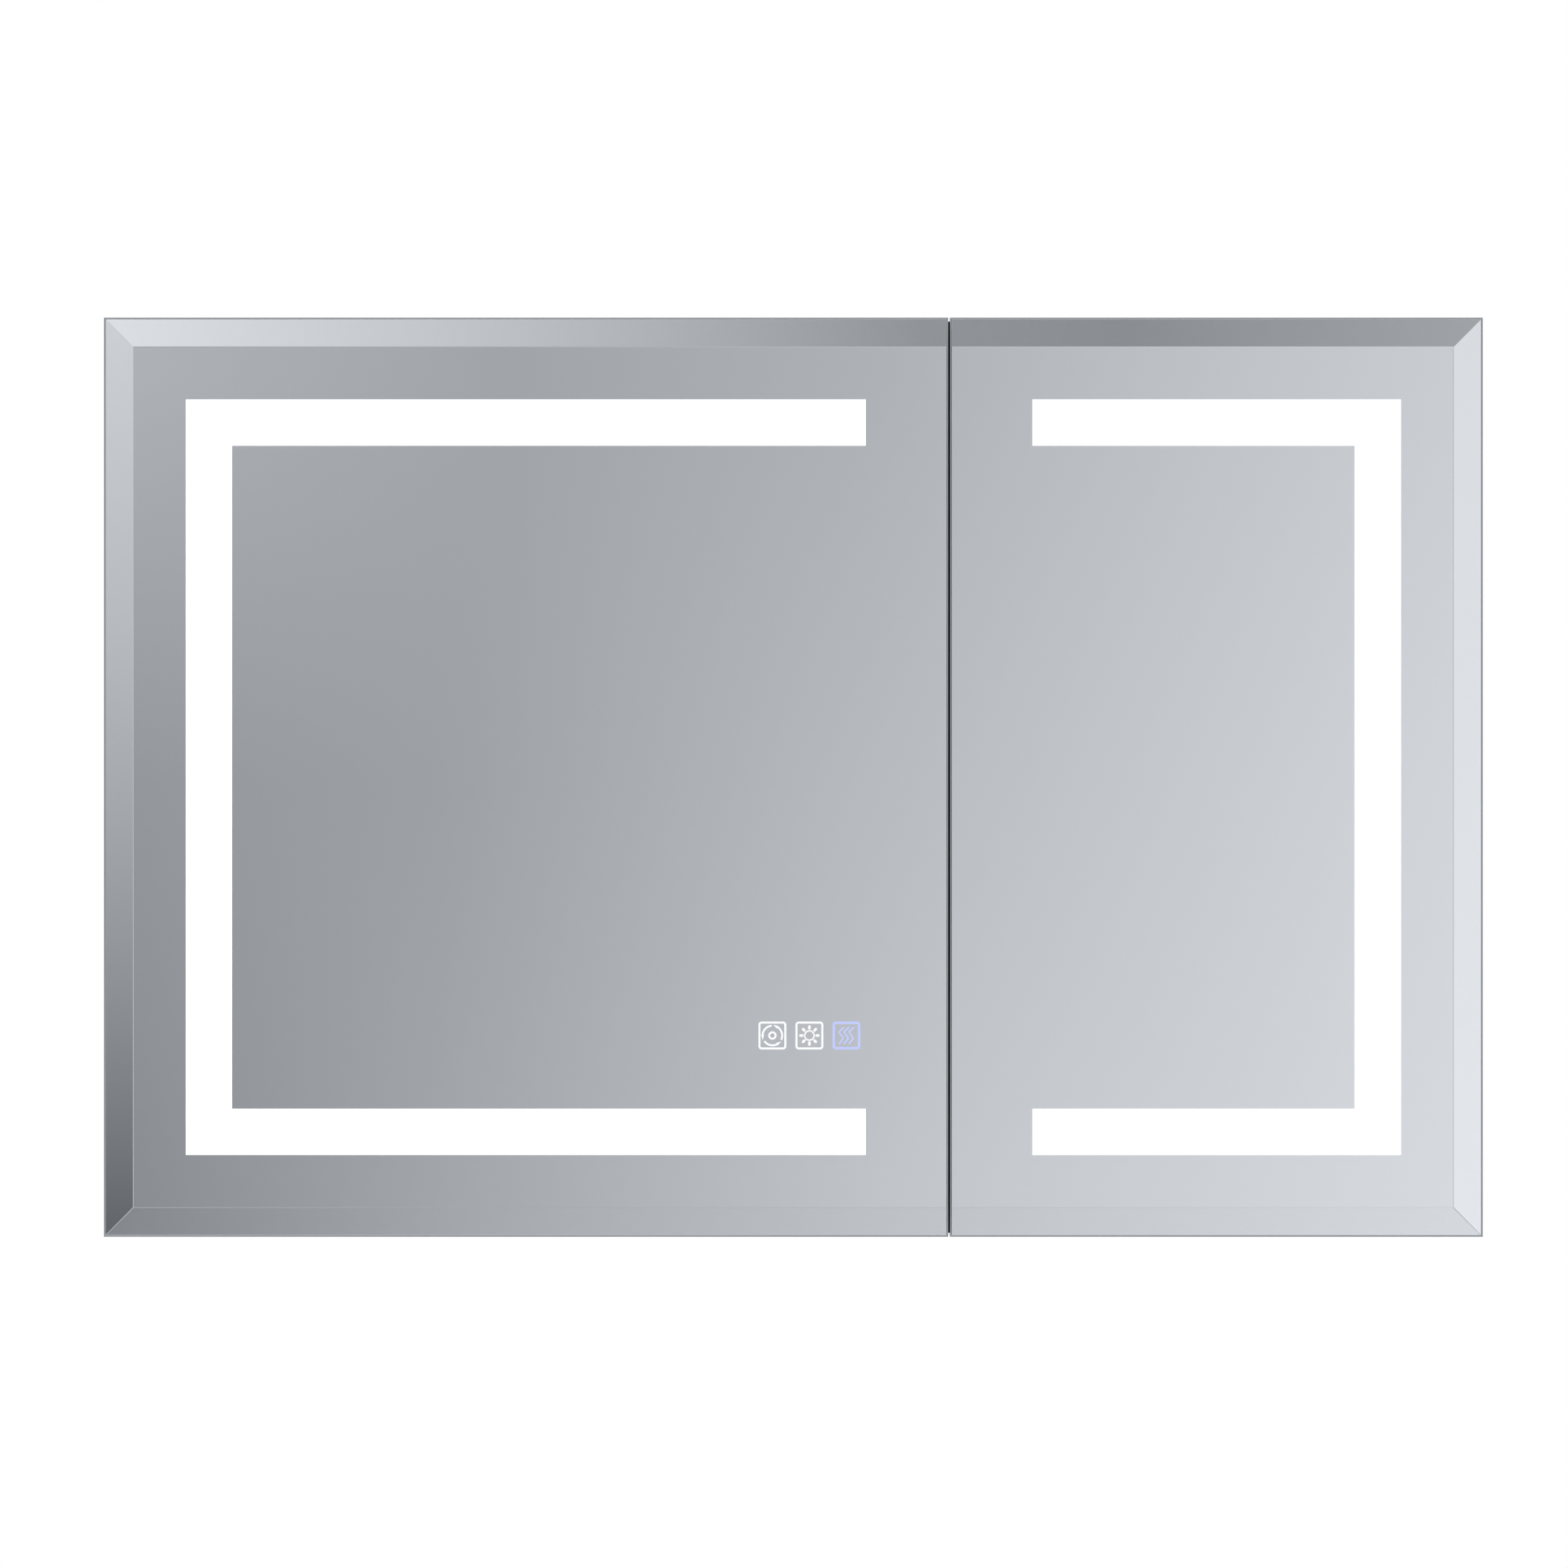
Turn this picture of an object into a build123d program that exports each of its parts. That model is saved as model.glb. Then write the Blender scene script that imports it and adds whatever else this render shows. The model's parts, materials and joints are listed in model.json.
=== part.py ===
from build123d import *
from math import cos, radians, sin, sqrt
import os

# Wall-hung medicine cabinet with two back-lit, bevelled mirror doors.
# Millimetres. +X is to the right, +Z is up and -Y is towards the user.
# The origin lies on the wall plane, in the middle of the four wall screws.

# ---------------------------------------------------------------- overall sizes
width = 914.4  # across both doors
height = 609.6
body_depth = 100.0  # wall to the front edge of the cabinet body
door_standoff = 3.0  # from the body's front edge to the back of a closed door
door_depth = 24.0
split = 560.5  # left edge to the middle of the gap between the doors
door_gap = 1.2
body_inset = 2.0  # the doors overhang the body by this much all round

# ----------------------------------------------------------------- cabinet body
panel = 12.0  # thickness of the hollow panels and of the divider
panel_wall = 1.5
back_recess = 10.0  # room behind the back panel for the rails and the cable nut
back_sheet = 2.0
ledge_width = 8.0  # inner ledge that the back panel is screwed to
ledge_thickness = 1.5
back_clearance = 0.3  # round the back panel
back_screw_length = 4.5
back_mirror = 3.0
key_leg = 40.0
key_width = 60.0
key_clearance = 0.2
gap_strip = 1.0  # black strip seen through the gap between the doors

# ------------------------------------------------------------------------ doors
lip = 1.0  # edge of the door frame that shows round the glass
glass_clearance = 0.1
glass = 5.0
bevel_width = 19.5  # from the outline of the door
bevel_drop = 2.0
silver = 0.3
frame_flange = 6.0
flange_thickness = 1.0
frame_ledge = 1.5
inner_mirror = 3.0
tray = 1.0
band_inset = 54.3  # outline of the door to the lit band
band_width = 30.6
band_end = 55.3  # middle of the gap to the end of the lit band
diffuser = 3.0
diffuser_overlap = 6.0
led_board_width = 10.0
led_board = 1.6
led_chip = 3.5
led_chip_height = 0.8
led_pitch = 25.0
pad_thickness = 0.5
mirror_margin = 16.0  # tray left showing round the inner mirror
mirror_hinge_margin = 24.0

# ----------------------------------------------------------------------- hinges
hinge_inset = 89.8  # top and bottom of a door to its outer hinges
pivot_back = 7.0  # back of the door to the pin
corner_clearance = 0.45  # turning corner of the door to the body's front edge
pin_radius = 2.0
pin_clearance = 0.05
eye_radius = 4.0
eye_height = 14.4
eye_end_clearance = 0.3
notch_clearance = 1.0
cheek = 6.0
housing_web = 2.0
housing_width = 21.0
arm_plate = 2.5
arm_plate_length = 55.0
arm_plate_height = 30.0
arm_setback = 5.0  # front edge of the body to the full height of the arm plate
arm_screw_pitch = 30.0

# -------------------------------------------------------- shelves, catch, rails
shelf = 5.0
shelf_spread = 97.0  # middle of the cabinet to each shelf
shelf_front = 14.0  # front edge of the body to the front of a shelf
shelf_clearance = 1.0
pin_hole_pitch = 32.0
shelf_pin_radius = 2.5
shelf_pin_length = 8.0
shelf_pin_inset = 18.0  # shelf edge to the pin
magnet_width = 10.0
magnet_height = 40.0
magnet_length = 24.0
magnet_clearance = 0.3
strike_width = 9.0
bumper_radius = 4.0
bumper_inset = 22.0
rail_length = 860.0
rail_inset = 117.8  # top and bottom of the body to the middle of each wall rail
rail_sheet = 1.8
rail_flange = 40.0
rail_lip = 16.0
hook_gap = 0.3
rivet_radius = 2.0
rivet_inset = 20.0
stud_pitch = 406.4
wall_hole_radius = 3.0

# ------------------------------------------------------------ wiring and lights
box_width = 180.0
box_height = 50.0
box_depth = 42.0
box_wall = 2.0
box_gap = 10.0  # side panel to the wiring box
driver_width = 120.0
driver_height = 30.0
driver_depth = 26.0
gland_bore = 5.0
gland_thread = 8.0
gland_flange = 11.5
gland_offset = 70.0  # middle of the wiring box to the gland

# ------------------------------------------------------------------ touch icons
icon_rise = 133.5  # bottom of the door to the middle of the icons
icon_last = 68.1  # middle of the gap to the nearest icon
icon_pitch = 24.55
icon_frame = 18.5
icon_corner = 2.2
icon_stroke = 1.35
icon_bold_stroke = 1.7
board_margin = 5.0
board_thickness = 1.6

# ------------------------------------------------------------------ worked out
half_width = width / 2
half_height = height / 2
split_x = split - half_width
body_half_width = half_width - body_inset
body_half_height = half_height - body_inset
bay_half_width = body_half_width - panel
bay_half_height = body_half_height - panel
back_front = back_recess + back_sheet
mirror_front = back_front + back_mirror
glass_back = door_depth - glass
silver_back = glass_back - silver
tray_front = inner_mirror + tray
band_middle = band_inset + band_width / 2
eye_corner = door_standoff + pivot_back - corner_clearance
pivot_in = sqrt(eye_corner**2 - pivot_back**2)
notch_depth = pivot_back + eye_radius + notch_clearance
notch_half = eye_height / 2 + eye_end_clearance
housing_half = notch_half + cheek
housing_end = lip + housing_width
housing_cut = housing_half + key_clearance
hinge_heights = (-half_height + hinge_inset, 0.0, half_height - hinge_inset)
icon_height = -half_height + icon_rise
sides = ("left", "right")
sign = {"left": -1, "right": 1}
hinge_x = {side: sign[side] * half_width for side in sides}
meeting_x = {side: split_x + sign[side] * door_gap / 2 for side in sides}

os.makedirs("parts", exist_ok=True)


def write(piece, node):
    """Label a finished piece and write it to its own file."""
    piece.part.label = node
    export_step(piece.part, f"parts/{node}.step")


def block(x, y, z, mode=Mode.ADD):
    """A box between two x, two y and two z values, in the part being made."""
    with Locations(((x[0] + x[1]) / 2, (y[0] + y[1]) / 2, (z[0] + z[1]) / 2)):
        Box(abs(x[1] - x[0]), abs(y[1] - y[0]), abs(z[1] - z[0]), mode=mode)


def area(x, z, mode=Mode.ADD):
    """A rectangle between two x and two z values, in the sketch being made."""
    with Locations(((x[0] + x[1]) / 2, (z[0] + z[1]) / 2)):
        Rectangle(abs(x[1] - x[0]), abs(z[1] - z[0]), mode=mode)


def front(depth):
    """Plane facing the user, this far in front of the wall."""
    return Plane.XZ.offset(depth)


def in_door(depth):
    """Plane facing the user, this far in front of the back of a closed door."""
    return front(body_depth + door_standoff + depth)


def door_y(depth):
    """Y of a place this far in front of the back of a closed door."""
    return -(body_depth + door_standoff + depth)


def from_hinge(side, inward):
    """X of a place this far inwards from the hinge edge of a door."""
    return hinge_x[side] - sign[side] * inward


def from_meeting(side, inward):
    """X of a place this far inwards from the meeting edge of a door."""
    return meeting_x[side] + sign[side] * inward


def mitred(x0, x1, z0, z1, reach):
    """The four pieces that mitres cut a frame into, as corner points by side."""
    return {
        "left": ((x0, z0), (x0 + reach, z0 + reach), (x0 + reach, z1 - reach), (x0, z1)),
        "right": ((x1, z0), (x1 - reach, z0 + reach), (x1 - reach, z1 - reach), (x1, z1)),
        "top": ((x0, z1), (x0 + reach, z1 - reach), (x1 - reach, z1 - reach), (x1, z1)),
        "bottom": ((x0, z0), (x0 + reach, z0 + reach), (x1 - reach, z0 + reach), (x1, z0)),
    }


# ================================================================ cabinet body
# Four hollow panels with mitred corners, an inner ledge and holes for the
# shelf pins and the hinge screws.
shelf_heights = (-shelf_spread, shelf_spread)
shelf_back = mirror_front + shelf_clearance
shelf_depths = (shelf_back + shelf_pin_inset, body_depth - shelf_front - shelf_pin_inset)
pin_heights = [h + step * pin_hole_pitch for h in shelf_heights for step in (-1, 0, 1)]
arm_plate_back = body_depth - arm_setback - arm_plate_length
arm_screw_depths = [
    arm_plate_back + arm_plate_length / 2 + step * arm_screw_pitch / 2 for step in (-1, 1)
]
screw_radius = 2.0
key_middle = body_depth / 2
key_screw_inset = panel + key_leg * 0.6
back_screw_radius = 1.5
divider_x = (split_x - panel / 2, split_x + panel / 2)
bays = {"left": (-bay_half_width, divider_x[0]), "right": (divider_x[1], bay_half_width)}
screw_columns = [a + share * (b - a) for a, b in bays.values() for share in (0.15, 0.5, 0.85)]
screw_rows = [step * bay_half_height * 0.7 for step in (-1, 0, 1)]
back_screw_spots = [
    (s * (bay_half_width - ledge_width / 2), z) for s in (-1, 1) for z in screw_rows
] + [(x, s * (bay_half_height - ledge_width / 2)) for s in (-1, 1) for x in screw_columns]
panel_pieces = mitred(
    -body_half_width, body_half_width, -body_half_height, body_half_height, panel + ledge_width
)

for side, corners in panel_pieces.items():
    with BuildPart() as body_panel:
        with BuildSketch(front(0)):
            Rectangle(2 * body_half_width, 2 * body_half_height)
            Rectangle(2 * bay_half_width, 2 * bay_half_height, mode=Mode.SUBTRACT)
        extrude(amount=body_depth)
        with BuildSketch(front(panel_wall)):
            Rectangle(2 * (body_half_width - panel_wall), 2 * (body_half_height - panel_wall))
            Rectangle(
                2 * (bay_half_width + panel_wall),
                2 * (bay_half_height + panel_wall),
                mode=Mode.SUBTRACT,
            )
        extrude(amount=body_depth - 2 * panel_wall, mode=Mode.SUBTRACT)
        with BuildSketch(front(back_front)):
            Rectangle(2 * bay_half_width, 2 * bay_half_height)
            Rectangle(
                2 * (bay_half_width - ledge_width),
                2 * (bay_half_height - ledge_width),
                mode=Mode.SUBTRACT,
            )
        extrude(amount=ledge_thickness)
        with BuildSketch(front(back_front)):
            with Locations(*back_screw_spots):
                Circle(back_screw_radius)
        extrude(amount=ledge_thickness, mode=Mode.SUBTRACT)
        with BuildSketch(front(0)):
            with BuildLine():
                Polyline(*corners, close=True)
            make_face()
        extrude(amount=body_depth, mode=Mode.INTERSECT)
        if side in sides:
            inner_face = Plane.YZ.offset(sign[side] * (bay_half_width + panel_wall / 2))
            with BuildSketch(inner_face):
                with Locations(*[(-d, z) for d in shelf_depths for z in pin_heights]):
                    Circle(shelf_pin_radius)
                with Locations(*[(-d, z) for d in arm_screw_depths for z in hinge_heights]):
                    Circle(screw_radius)
                with Locations(
                    *[(-key_middle, s * (body_half_height - key_screw_inset)) for s in (-1, 1)]
                ):
                    Circle(screw_radius)
            extrude(amount=panel_wall, both=True, mode=Mode.SUBTRACT)
        else:
            level = bay_half_height if side == "top" else -bay_half_height
            with BuildSketch(Plane.XY.offset(level)):
                with Locations(
                    *[(s * (body_half_width - key_screw_inset), -key_middle) for s in (-1, 1)]
                ):
                    Circle(screw_radius)
            extrude(amount=panel_wall, both=True, mode=Mode.SUBTRACT)
    write(body_panel, f"{side}_panel")

# L-shaped keys inside the hollow corners, each held by two screws.
key_thickness = panel - 2 * panel_wall - 2 * key_clearance
with BuildPart() as corner_keys:
    for x_sign in (-1, 1):
        for z_sign in (-1, 1):
            x_out = x_sign * (body_half_width - panel_wall - key_clearance)
            z_out = z_sign * (body_half_height - panel_wall - key_clearance)
            y_span = (-(key_middle - key_width / 2), -(key_middle + key_width / 2))
            block((x_out, x_out - x_sign * key_thickness), y_span, (z_out, z_out - z_sign * key_leg))
            block((x_out, x_out - x_sign * key_leg), y_span, (z_out, z_out - z_sign * key_thickness))
    for x_sign in (-1, 1):
        with BuildSketch(Plane.YZ.offset(x_sign * bay_half_width)):
            with Locations(
                *[(-key_middle, s * (body_half_height - key_screw_inset)) for s in (-1, 1)]
            ):
                Circle(screw_radius)
        extrude(amount=panel - panel_wall, both=True, mode=Mode.SUBTRACT)
    for z_sign in (-1, 1):
        with BuildSketch(Plane.XY.offset(z_sign * bay_half_height)):
            with Locations(
                *[(s * (body_half_width - key_screw_inset), -key_middle) for s in (-1, 1)]
            ):
                Circle(screw_radius)
        extrude(amount=panel - panel_wall, both=True, mode=Mode.SUBTRACT)
write(corner_keys, "corner_keys")

screw_head = 3.8
screw_head_height = 1.6
key_screw_length = panel - panel_wall - 1.0


def screw(length, radius=screw_radius, head=screw_head, head_height=screw_head_height):
    """A domed screw along +Z, its head resting on the XY plane."""
    with BuildPart(mode=Mode.PRIVATE) as made:
        Cylinder(radius, length, align=(Align.CENTER, Align.CENTER, Align.MAX))
        Cylinder(head, head_height, align=(Align.CENTER, Align.CENTER, Align.MIN))
        fillet(made.edges().sort_by(Axis.Z)[-1], radius=head_height * 0.7)
        with BuildSketch(Plane.XY.offset(head_height)):
            RegularPolygon(head * 0.35, 6)
        extrude(amount=-head_height * 0.6, mode=Mode.SUBTRACT)
    return made.part


key_screw = screw(key_screw_length)
with BuildPart() as corner_key_screws:
    for x_sign in (-1, 1):
        facing_in = Vector(-x_sign, 0, 0)
        for z_sign in (-1, 1):
            spot = (x_sign * bay_half_width, -key_middle, z_sign * (body_half_height - key_screw_inset))
            with Locations(Plane(origin=spot, z_dir=facing_in)):
                add(key_screw)
    for z_sign in (-1, 1):
        facing_in = Vector(0, 0, -z_sign)
        for x_sign in (-1, 1):
            spot = (x_sign * (body_half_width - key_screw_inset), -key_middle, z_sign * bay_half_height)
            with Locations(Plane(origin=spot, z_dir=facing_in)):
                add(key_screw)
write(corner_key_screws, "corner_key_screws")

# Hollow divider behind the gap between the doors, with the same pin holes.
with BuildPart() as centre_divider:
    block(divider_x, (-back_front, -body_depth), (-bay_half_height, bay_half_height))
    block(
        (divider_x[0] + panel_wall, divider_x[1] - panel_wall),
        (-back_front - panel_wall, -body_depth + panel_wall),
        (-bay_half_height, bay_half_height),
        mode=Mode.SUBTRACT,
    )
    for level in (-bay_half_height, bay_half_height):
        inward = -ledge_width if level > 0 else ledge_width
        block(
            divider_x,
            (-back_front, -back_front - ledge_thickness),
            (level, level + inward),
            mode=Mode.SUBTRACT,
        )
    with BuildSketch(Plane.YZ.offset(split_x)):
        with Locations(*[(-d, z) for d in shelf_depths for z in pin_heights]):
            Circle(shelf_pin_radius)
    extrude(amount=panel, both=True, mode=Mode.SUBTRACT)
write(centre_divider, "centre_divider")

with BuildPart() as divider_gap_strip:
    block(divider_x, (-body_depth, -body_depth - gap_strip), (-body_half_height, body_half_height))
write(divider_gap_strip, "divider_gap_strip")

# Back panel, screwed to the ledge from behind, with a hole for the cable gland.
box_x = (bay_half_width - box_gap - box_width, bay_half_width - box_gap)
box_z = (bay_half_height - box_gap - box_height, bay_half_height - box_gap)
gland_x = (box_x[0] + box_x[1]) / 2 - gland_offset
gland_z = (box_z[0] + box_z[1]) / 2
rail_levels = (-body_half_height + rail_inset, body_half_height - rail_inset)
hook_base = rail_flange / 2 + rail_lip
rivet_rise = hook_base + rail_sheet / 2 + rail_flange / 4
rivet_reach = rail_length / 2 - rivet_inset
rivet_spots = [
    (share * rivet_reach, level + rivet_rise) for level in rail_levels for share in (-1, -1 / 3, 1 / 3, 1)
]

with BuildPart() as back_panel:
    with BuildSketch(front(back_recess)):
        Rectangle(2 * (bay_half_width - back_clearance), 2 * (bay_half_height - back_clearance))
        with Locations(*back_screw_spots):
            Circle(back_screw_radius, mode=Mode.SUBTRACT)
        with Locations((gland_x, gland_z)):
            Circle(gland_thread, mode=Mode.SUBTRACT)
        with Locations(*rivet_spots):
            Circle(rivet_radius, mode=Mode.SUBTRACT)
    extrude(amount=back_sheet)
write(back_panel, "back_panel")

back_screw = screw(back_screw_length, back_screw_radius, 2.8, 1.3)
with BuildPart() as back_panel_screws:
    for x, z in back_screw_spots:
        with Locations(Plane(origin=(x, -back_recess, z), z_dir=(0, 1, 0))):
            add(back_screw)
write(back_panel_screws, "back_panel_screws")

# Mirrors on the back panel; the right one stops below the wiring box.
mirror_reach = bay_half_height - ledge_width - 1.0
for side, (low, high) in bays.items():
    outer_gap = ledge_width + 1.0
    mirror_x = (low + (outer_gap if side == "left" else 1.0), high - (outer_gap if side == "right" else 1.0))
    mirror_top = box_z[0] - 1.0 if side == "right" else mirror_reach
    with BuildPart() as bay_mirror:
        block(mirror_x, (-back_front, -mirror_front), (-mirror_reach, mirror_top))
    write(bay_mirror, f"{side}_back_mirror")

# Hanging rails: the cabinet's hooks drop behind the lips of the rails on the wall.
lip_out = (back_recess + rail_sheet) / 2
wall_hole_columns = (-stud_pitch / 2, stud_pitch / 2)
hook_out = lip_out - rail_sheet - hook_gap
with BuildPart() as wall_rails:
    for level in rail_levels:
        with BuildSketch(Plane.YZ.offset(-rail_length / 2)):
            with BuildLine():
                Polyline(
                    (0, level - rail_flange / 2),
                    (0, level + rail_flange / 2),
                    (-lip_out + rail_sheet, level + rail_flange / 2),
                    (-lip_out + rail_sheet, level + rail_flange / 2 + rail_lip),
                    (-lip_out, level + rail_flange / 2 + rail_lip),
                    (-lip_out, level + rail_flange / 2 - rail_sheet),
                    (-rail_sheet, level + rail_flange / 2 - rail_sheet),
                    (-rail_sheet, level - rail_flange / 2),
                    close=True,
                )
            make_face()
        extrude(amount=rail_length)
    with BuildSketch(front(0)):
        with Locations(*[(x, level) for level in rail_levels for x in wall_hole_columns]):
            Circle(wall_hole_radius)
    extrude(amount=rail_sheet, mode=Mode.SUBTRACT)
write(wall_rails, "wall_rails")

with BuildPart() as cabinet_rails:
    for level in rail_levels:
        with BuildSketch(Plane.YZ.offset(-rail_length / 2)):
            with BuildLine():
                Polyline(
                    (-back_recess, level + hook_base),
                    (-back_recess, level + hook_base + rail_flange / 2),
                    (-back_recess + rail_sheet, level + hook_base + rail_flange / 2),
                    (-back_recess + rail_sheet, level + hook_base + rail_sheet),
                    (-hook_out + rail_sheet, level + hook_base + rail_sheet),
                    (-hook_out + rail_sheet, level + hook_base - rail_lip + rail_sheet),
                    (-hook_out, level + hook_base - rail_lip + rail_sheet),
                    (-hook_out, level + hook_base),
                    close=True,
                )
            make_face()
        extrude(amount=rail_length)
    with BuildSketch(front(back_recess)):
        with Locations(*rivet_spots):
            Circle(rivet_radius)
    extrude(amount=-rail_sheet, mode=Mode.SUBTRACT)
write(cabinet_rails, "cabinet_rails")

rivet_head = 3.6
rivet_head_height = 1.2
with BuildPart() as rail_rivets:
    for x, z in rivet_spots:
        with Locations(Plane(origin=(x, -back_recess + rail_sheet, z), z_dir=(0, 1, 0))):
            Cylinder(
                rivet_radius, rail_sheet + back_sheet, align=(Align.CENTER, Align.CENTER, Align.MAX)
            )
            Cylinder(rivet_head, rivet_head_height, align=(Align.CENTER, Align.CENTER, Align.MIN))
write(rail_rivets, "rail_rivets")

# Wiring box in the upper right corner, with its cover, the driver and the gland.
box_front = back_front + box_depth
with BuildPart() as wiring_box:
    block(box_x, (-back_front, -box_front), box_z)
    block(
        (box_x[0] + box_wall, box_x[1] - box_wall),
        (-back_front - box_wall, -box_front),
        (box_z[0] + box_wall, box_z[1] - box_wall),
        mode=Mode.SUBTRACT,
    )
    with BuildSketch(front(back_front)):
        with Locations((gland_x, gland_z)):
            Circle(gland_thread)
    extrude(amount=box_wall, mode=Mode.SUBTRACT)
write(wiring_box, "wiring_box")

cover_lip = 4.0
cover_clearance = 0.2
with BuildPart() as wiring_box_cover:
    block(box_x, (-box_front, -box_front - box_wall), box_z)
    chamfer(wiring_box_cover.faces().sort_by(Axis.Y)[0].edges(), length=box_wall / 2)
    with BuildSketch(front(box_front)):
        area(
            (box_x[0] + box_wall + cover_clearance, box_x[1] - box_wall - cover_clearance),
            (box_z[0] + box_wall + cover_clearance, box_z[1] - box_wall - cover_clearance),
        )
        area(
            (box_x[0] + 2 * box_wall, box_x[1] - 2 * box_wall),
            (box_z[0] + 2 * box_wall, box_z[1] - 2 * box_wall),
            mode=Mode.SUBTRACT,
        )
    extrude(amount=-cover_lip)
write(wiring_box_cover, "wiring_box_cover")

driver_gap = 6.0  # box wall to the driver
driver_x = (box_x[1] - box_wall - driver_gap - driver_width, box_x[1] - box_wall - driver_gap)
driver_back = back_front + box_wall
with BuildPart() as led_driver:
    block(
        driver_x,
        (-driver_back, -driver_back - driver_depth),
        (gland_z - driver_height / 2, gland_z + driver_height / 2),
    )
    fillet(led_driver.edges().filter_by(Axis.X), radius=2.0)
write(led_driver, "led_driver")

gland_nut = 5.0
gland_tail = 1.0
gland_body = 9.0
gland_back = back_recess - gland_nut - gland_tail
gland_front = driver_back + gland_body
with BuildPart() as cable_gland:
    with BuildSketch(front(gland_back)):
        with Locations((gland_x, gland_z)):
            Circle(gland_thread)
    extrude(amount=gland_front - gland_back)
    with BuildSketch(front(driver_back)):
        with Locations((gland_x, gland_z)):
            RegularPolygon(gland_flange, 6)
    extrude(amount=gland_body)
    with BuildSketch(front(gland_back + gland_tail)):
        with Locations((gland_x, gland_z)):
            RegularPolygon(gland_flange, 6)
    extrude(amount=gland_nut)
    with BuildSketch(front(gland_back)):
        with Locations((gland_x, gland_z)):
            Circle(gland_bore)
    extrude(amount=gland_front - gland_back, mode=Mode.SUBTRACT)
write(cable_gland, "cable_gland")

# Glass shelves on pins.
for side, (low, high) in bays.items():
    with BuildPart() as shelves:
        for level in shelf_heights:
            rest = level + shelf_pin_radius
            block(
                (low + shelf_clearance, high - shelf_clearance),
                (-shelf_back, -(body_depth - shelf_front)),
                (rest, rest + shelf),
            )
        chamfer(shelves.edges().filter_by(Axis.X), length=0.5)
    write(shelves, f"{side}_shelves")

pin_tail = 4.0
pin_collar = 0.8
with BuildPart() as shelf_pins:
    for low, high in bays.values():
        for wall_x, inward in ((low, 1), (high, -1)):
            for depth in shelf_depths:
                for level in shelf_heights:
                    spot = Plane(origin=(wall_x, -depth, level), z_dir=(inward, 0, 0))
                    with Locations(spot.offset(-pin_tail)):
                        Cylinder(
                            shelf_pin_radius,
                            pin_tail + shelf_pin_length,
                            align=(Align.CENTER, Align.CENTER, Align.MIN),
                        )
                    with Locations(spot):
                        Cylinder(
                            shelf_pin_radius + 1.5,
                            pin_collar,
                            align=(Align.CENTER, Align.CENTER, Align.MIN),
                        )
write(shelf_pins, "shelf_pins")

# Magnetic catches on both faces of the divider.
magnet_front = body_depth + door_standoff - magnet_clearance
with BuildPart() as catch_magnets:
    for edge, outward in ((divider_x[0], -1), (divider_x[1], 1)):
        block(
            (edge, edge + outward * magnet_width),
            (-magnet_front, -magnet_front + magnet_length),
            (-magnet_height / 2, magnet_height / 2),
        )
    fillet(catch_magnets.edges().filter_by(Axis.Y), radius=1.0)
write(catch_magnets, "catch_magnets")

# ====================================================================== hinges
# Each arm is screwed to the inside of a side panel. It reaches round the
# panel's front edge to an eye on the pin, which is hidden inside the door.
pin_y = -(body_depth + door_standoff + pivot_back)
bend_y = -(body_depth + door_standoff / 2)
for side in sides:
    toward_middle = -sign[side]
    plate_x = sign[side] * bay_half_width
    pin_x = from_hinge(side, pivot_in)
    plate_edge = plate_x + toward_middle * arm_plate
    with BuildPart() as arms:
        for level in hinge_heights:
            with BuildSketch(Plane.XY.offset(level)):
                with Locations((pin_x, pin_y)):
                    Circle(eye_radius)
                with Locations((plate_x + toward_middle * arm_plate / 2, bend_y)):
                    Circle(arm_plate / 2)
                make_hull()
                area((plate_x, plate_edge), (-arm_plate_back, bend_y))
                with Locations((pin_x, pin_y)):
                    Circle(pin_radius + pin_clearance, mode=Mode.SUBTRACT)
            extrude(amount=eye_height / 2, both=True)
            block(
                (plate_x, plate_edge),
                (-arm_plate_back, -(body_depth - arm_setback)),
                (level - arm_plate_height / 2, level + arm_plate_height / 2),
            )
        with BuildSketch(Plane.YZ.offset(plate_x)):
            with Locations(*[(-d, z) for d in arm_screw_depths for z in hinge_heights]):
                Circle(screw_radius)
        extrude(amount=toward_middle * arm_plate, mode=Mode.SUBTRACT)
    write(arms, f"{side}_hinge_arms")

arm_screw = screw(arm_plate + panel_wall + 3.0)
with BuildPart() as hinge_arm_screws:
    for side in sides:
        head_x = sign[side] * (bay_half_width - arm_plate)
        for depth in arm_screw_depths:
            for level in hinge_heights:
                with Locations(Plane(origin=(head_x, -depth, level), z_dir=(-sign[side], 0, 0))):
                    add(arm_screw)
write(hinge_arm_screws, "hinge_arm_screws")

# ================================================================= touch icons
glyph_radius = 6.5
glyph_stroke = 1.25
arc_sweep = 82.0
head_sweep = 29.0
head_half = 1.0
tip_radius = 7.1
first_arc = 94.5
hub_radius = 2.75
hub_bore = 1.5
sun_radius = 3.55
sun_bore = 2.65
ray_length = 2.9
ray_width = 1.7
ray_middle = 5.35
wave_points = ((1.8, 5.5), (-1.9, 2.3), (1.45, -1.7), (-1.8, -5.7))
wave_pitch = 3.3
wave_bend = 1.4
wave_stroke = 1.1


def polar(radius, angle):
    """A point at a radius and an angle in degrees."""
    return (radius * cos(radians(angle)), radius * sin(radians(angle)))


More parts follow.
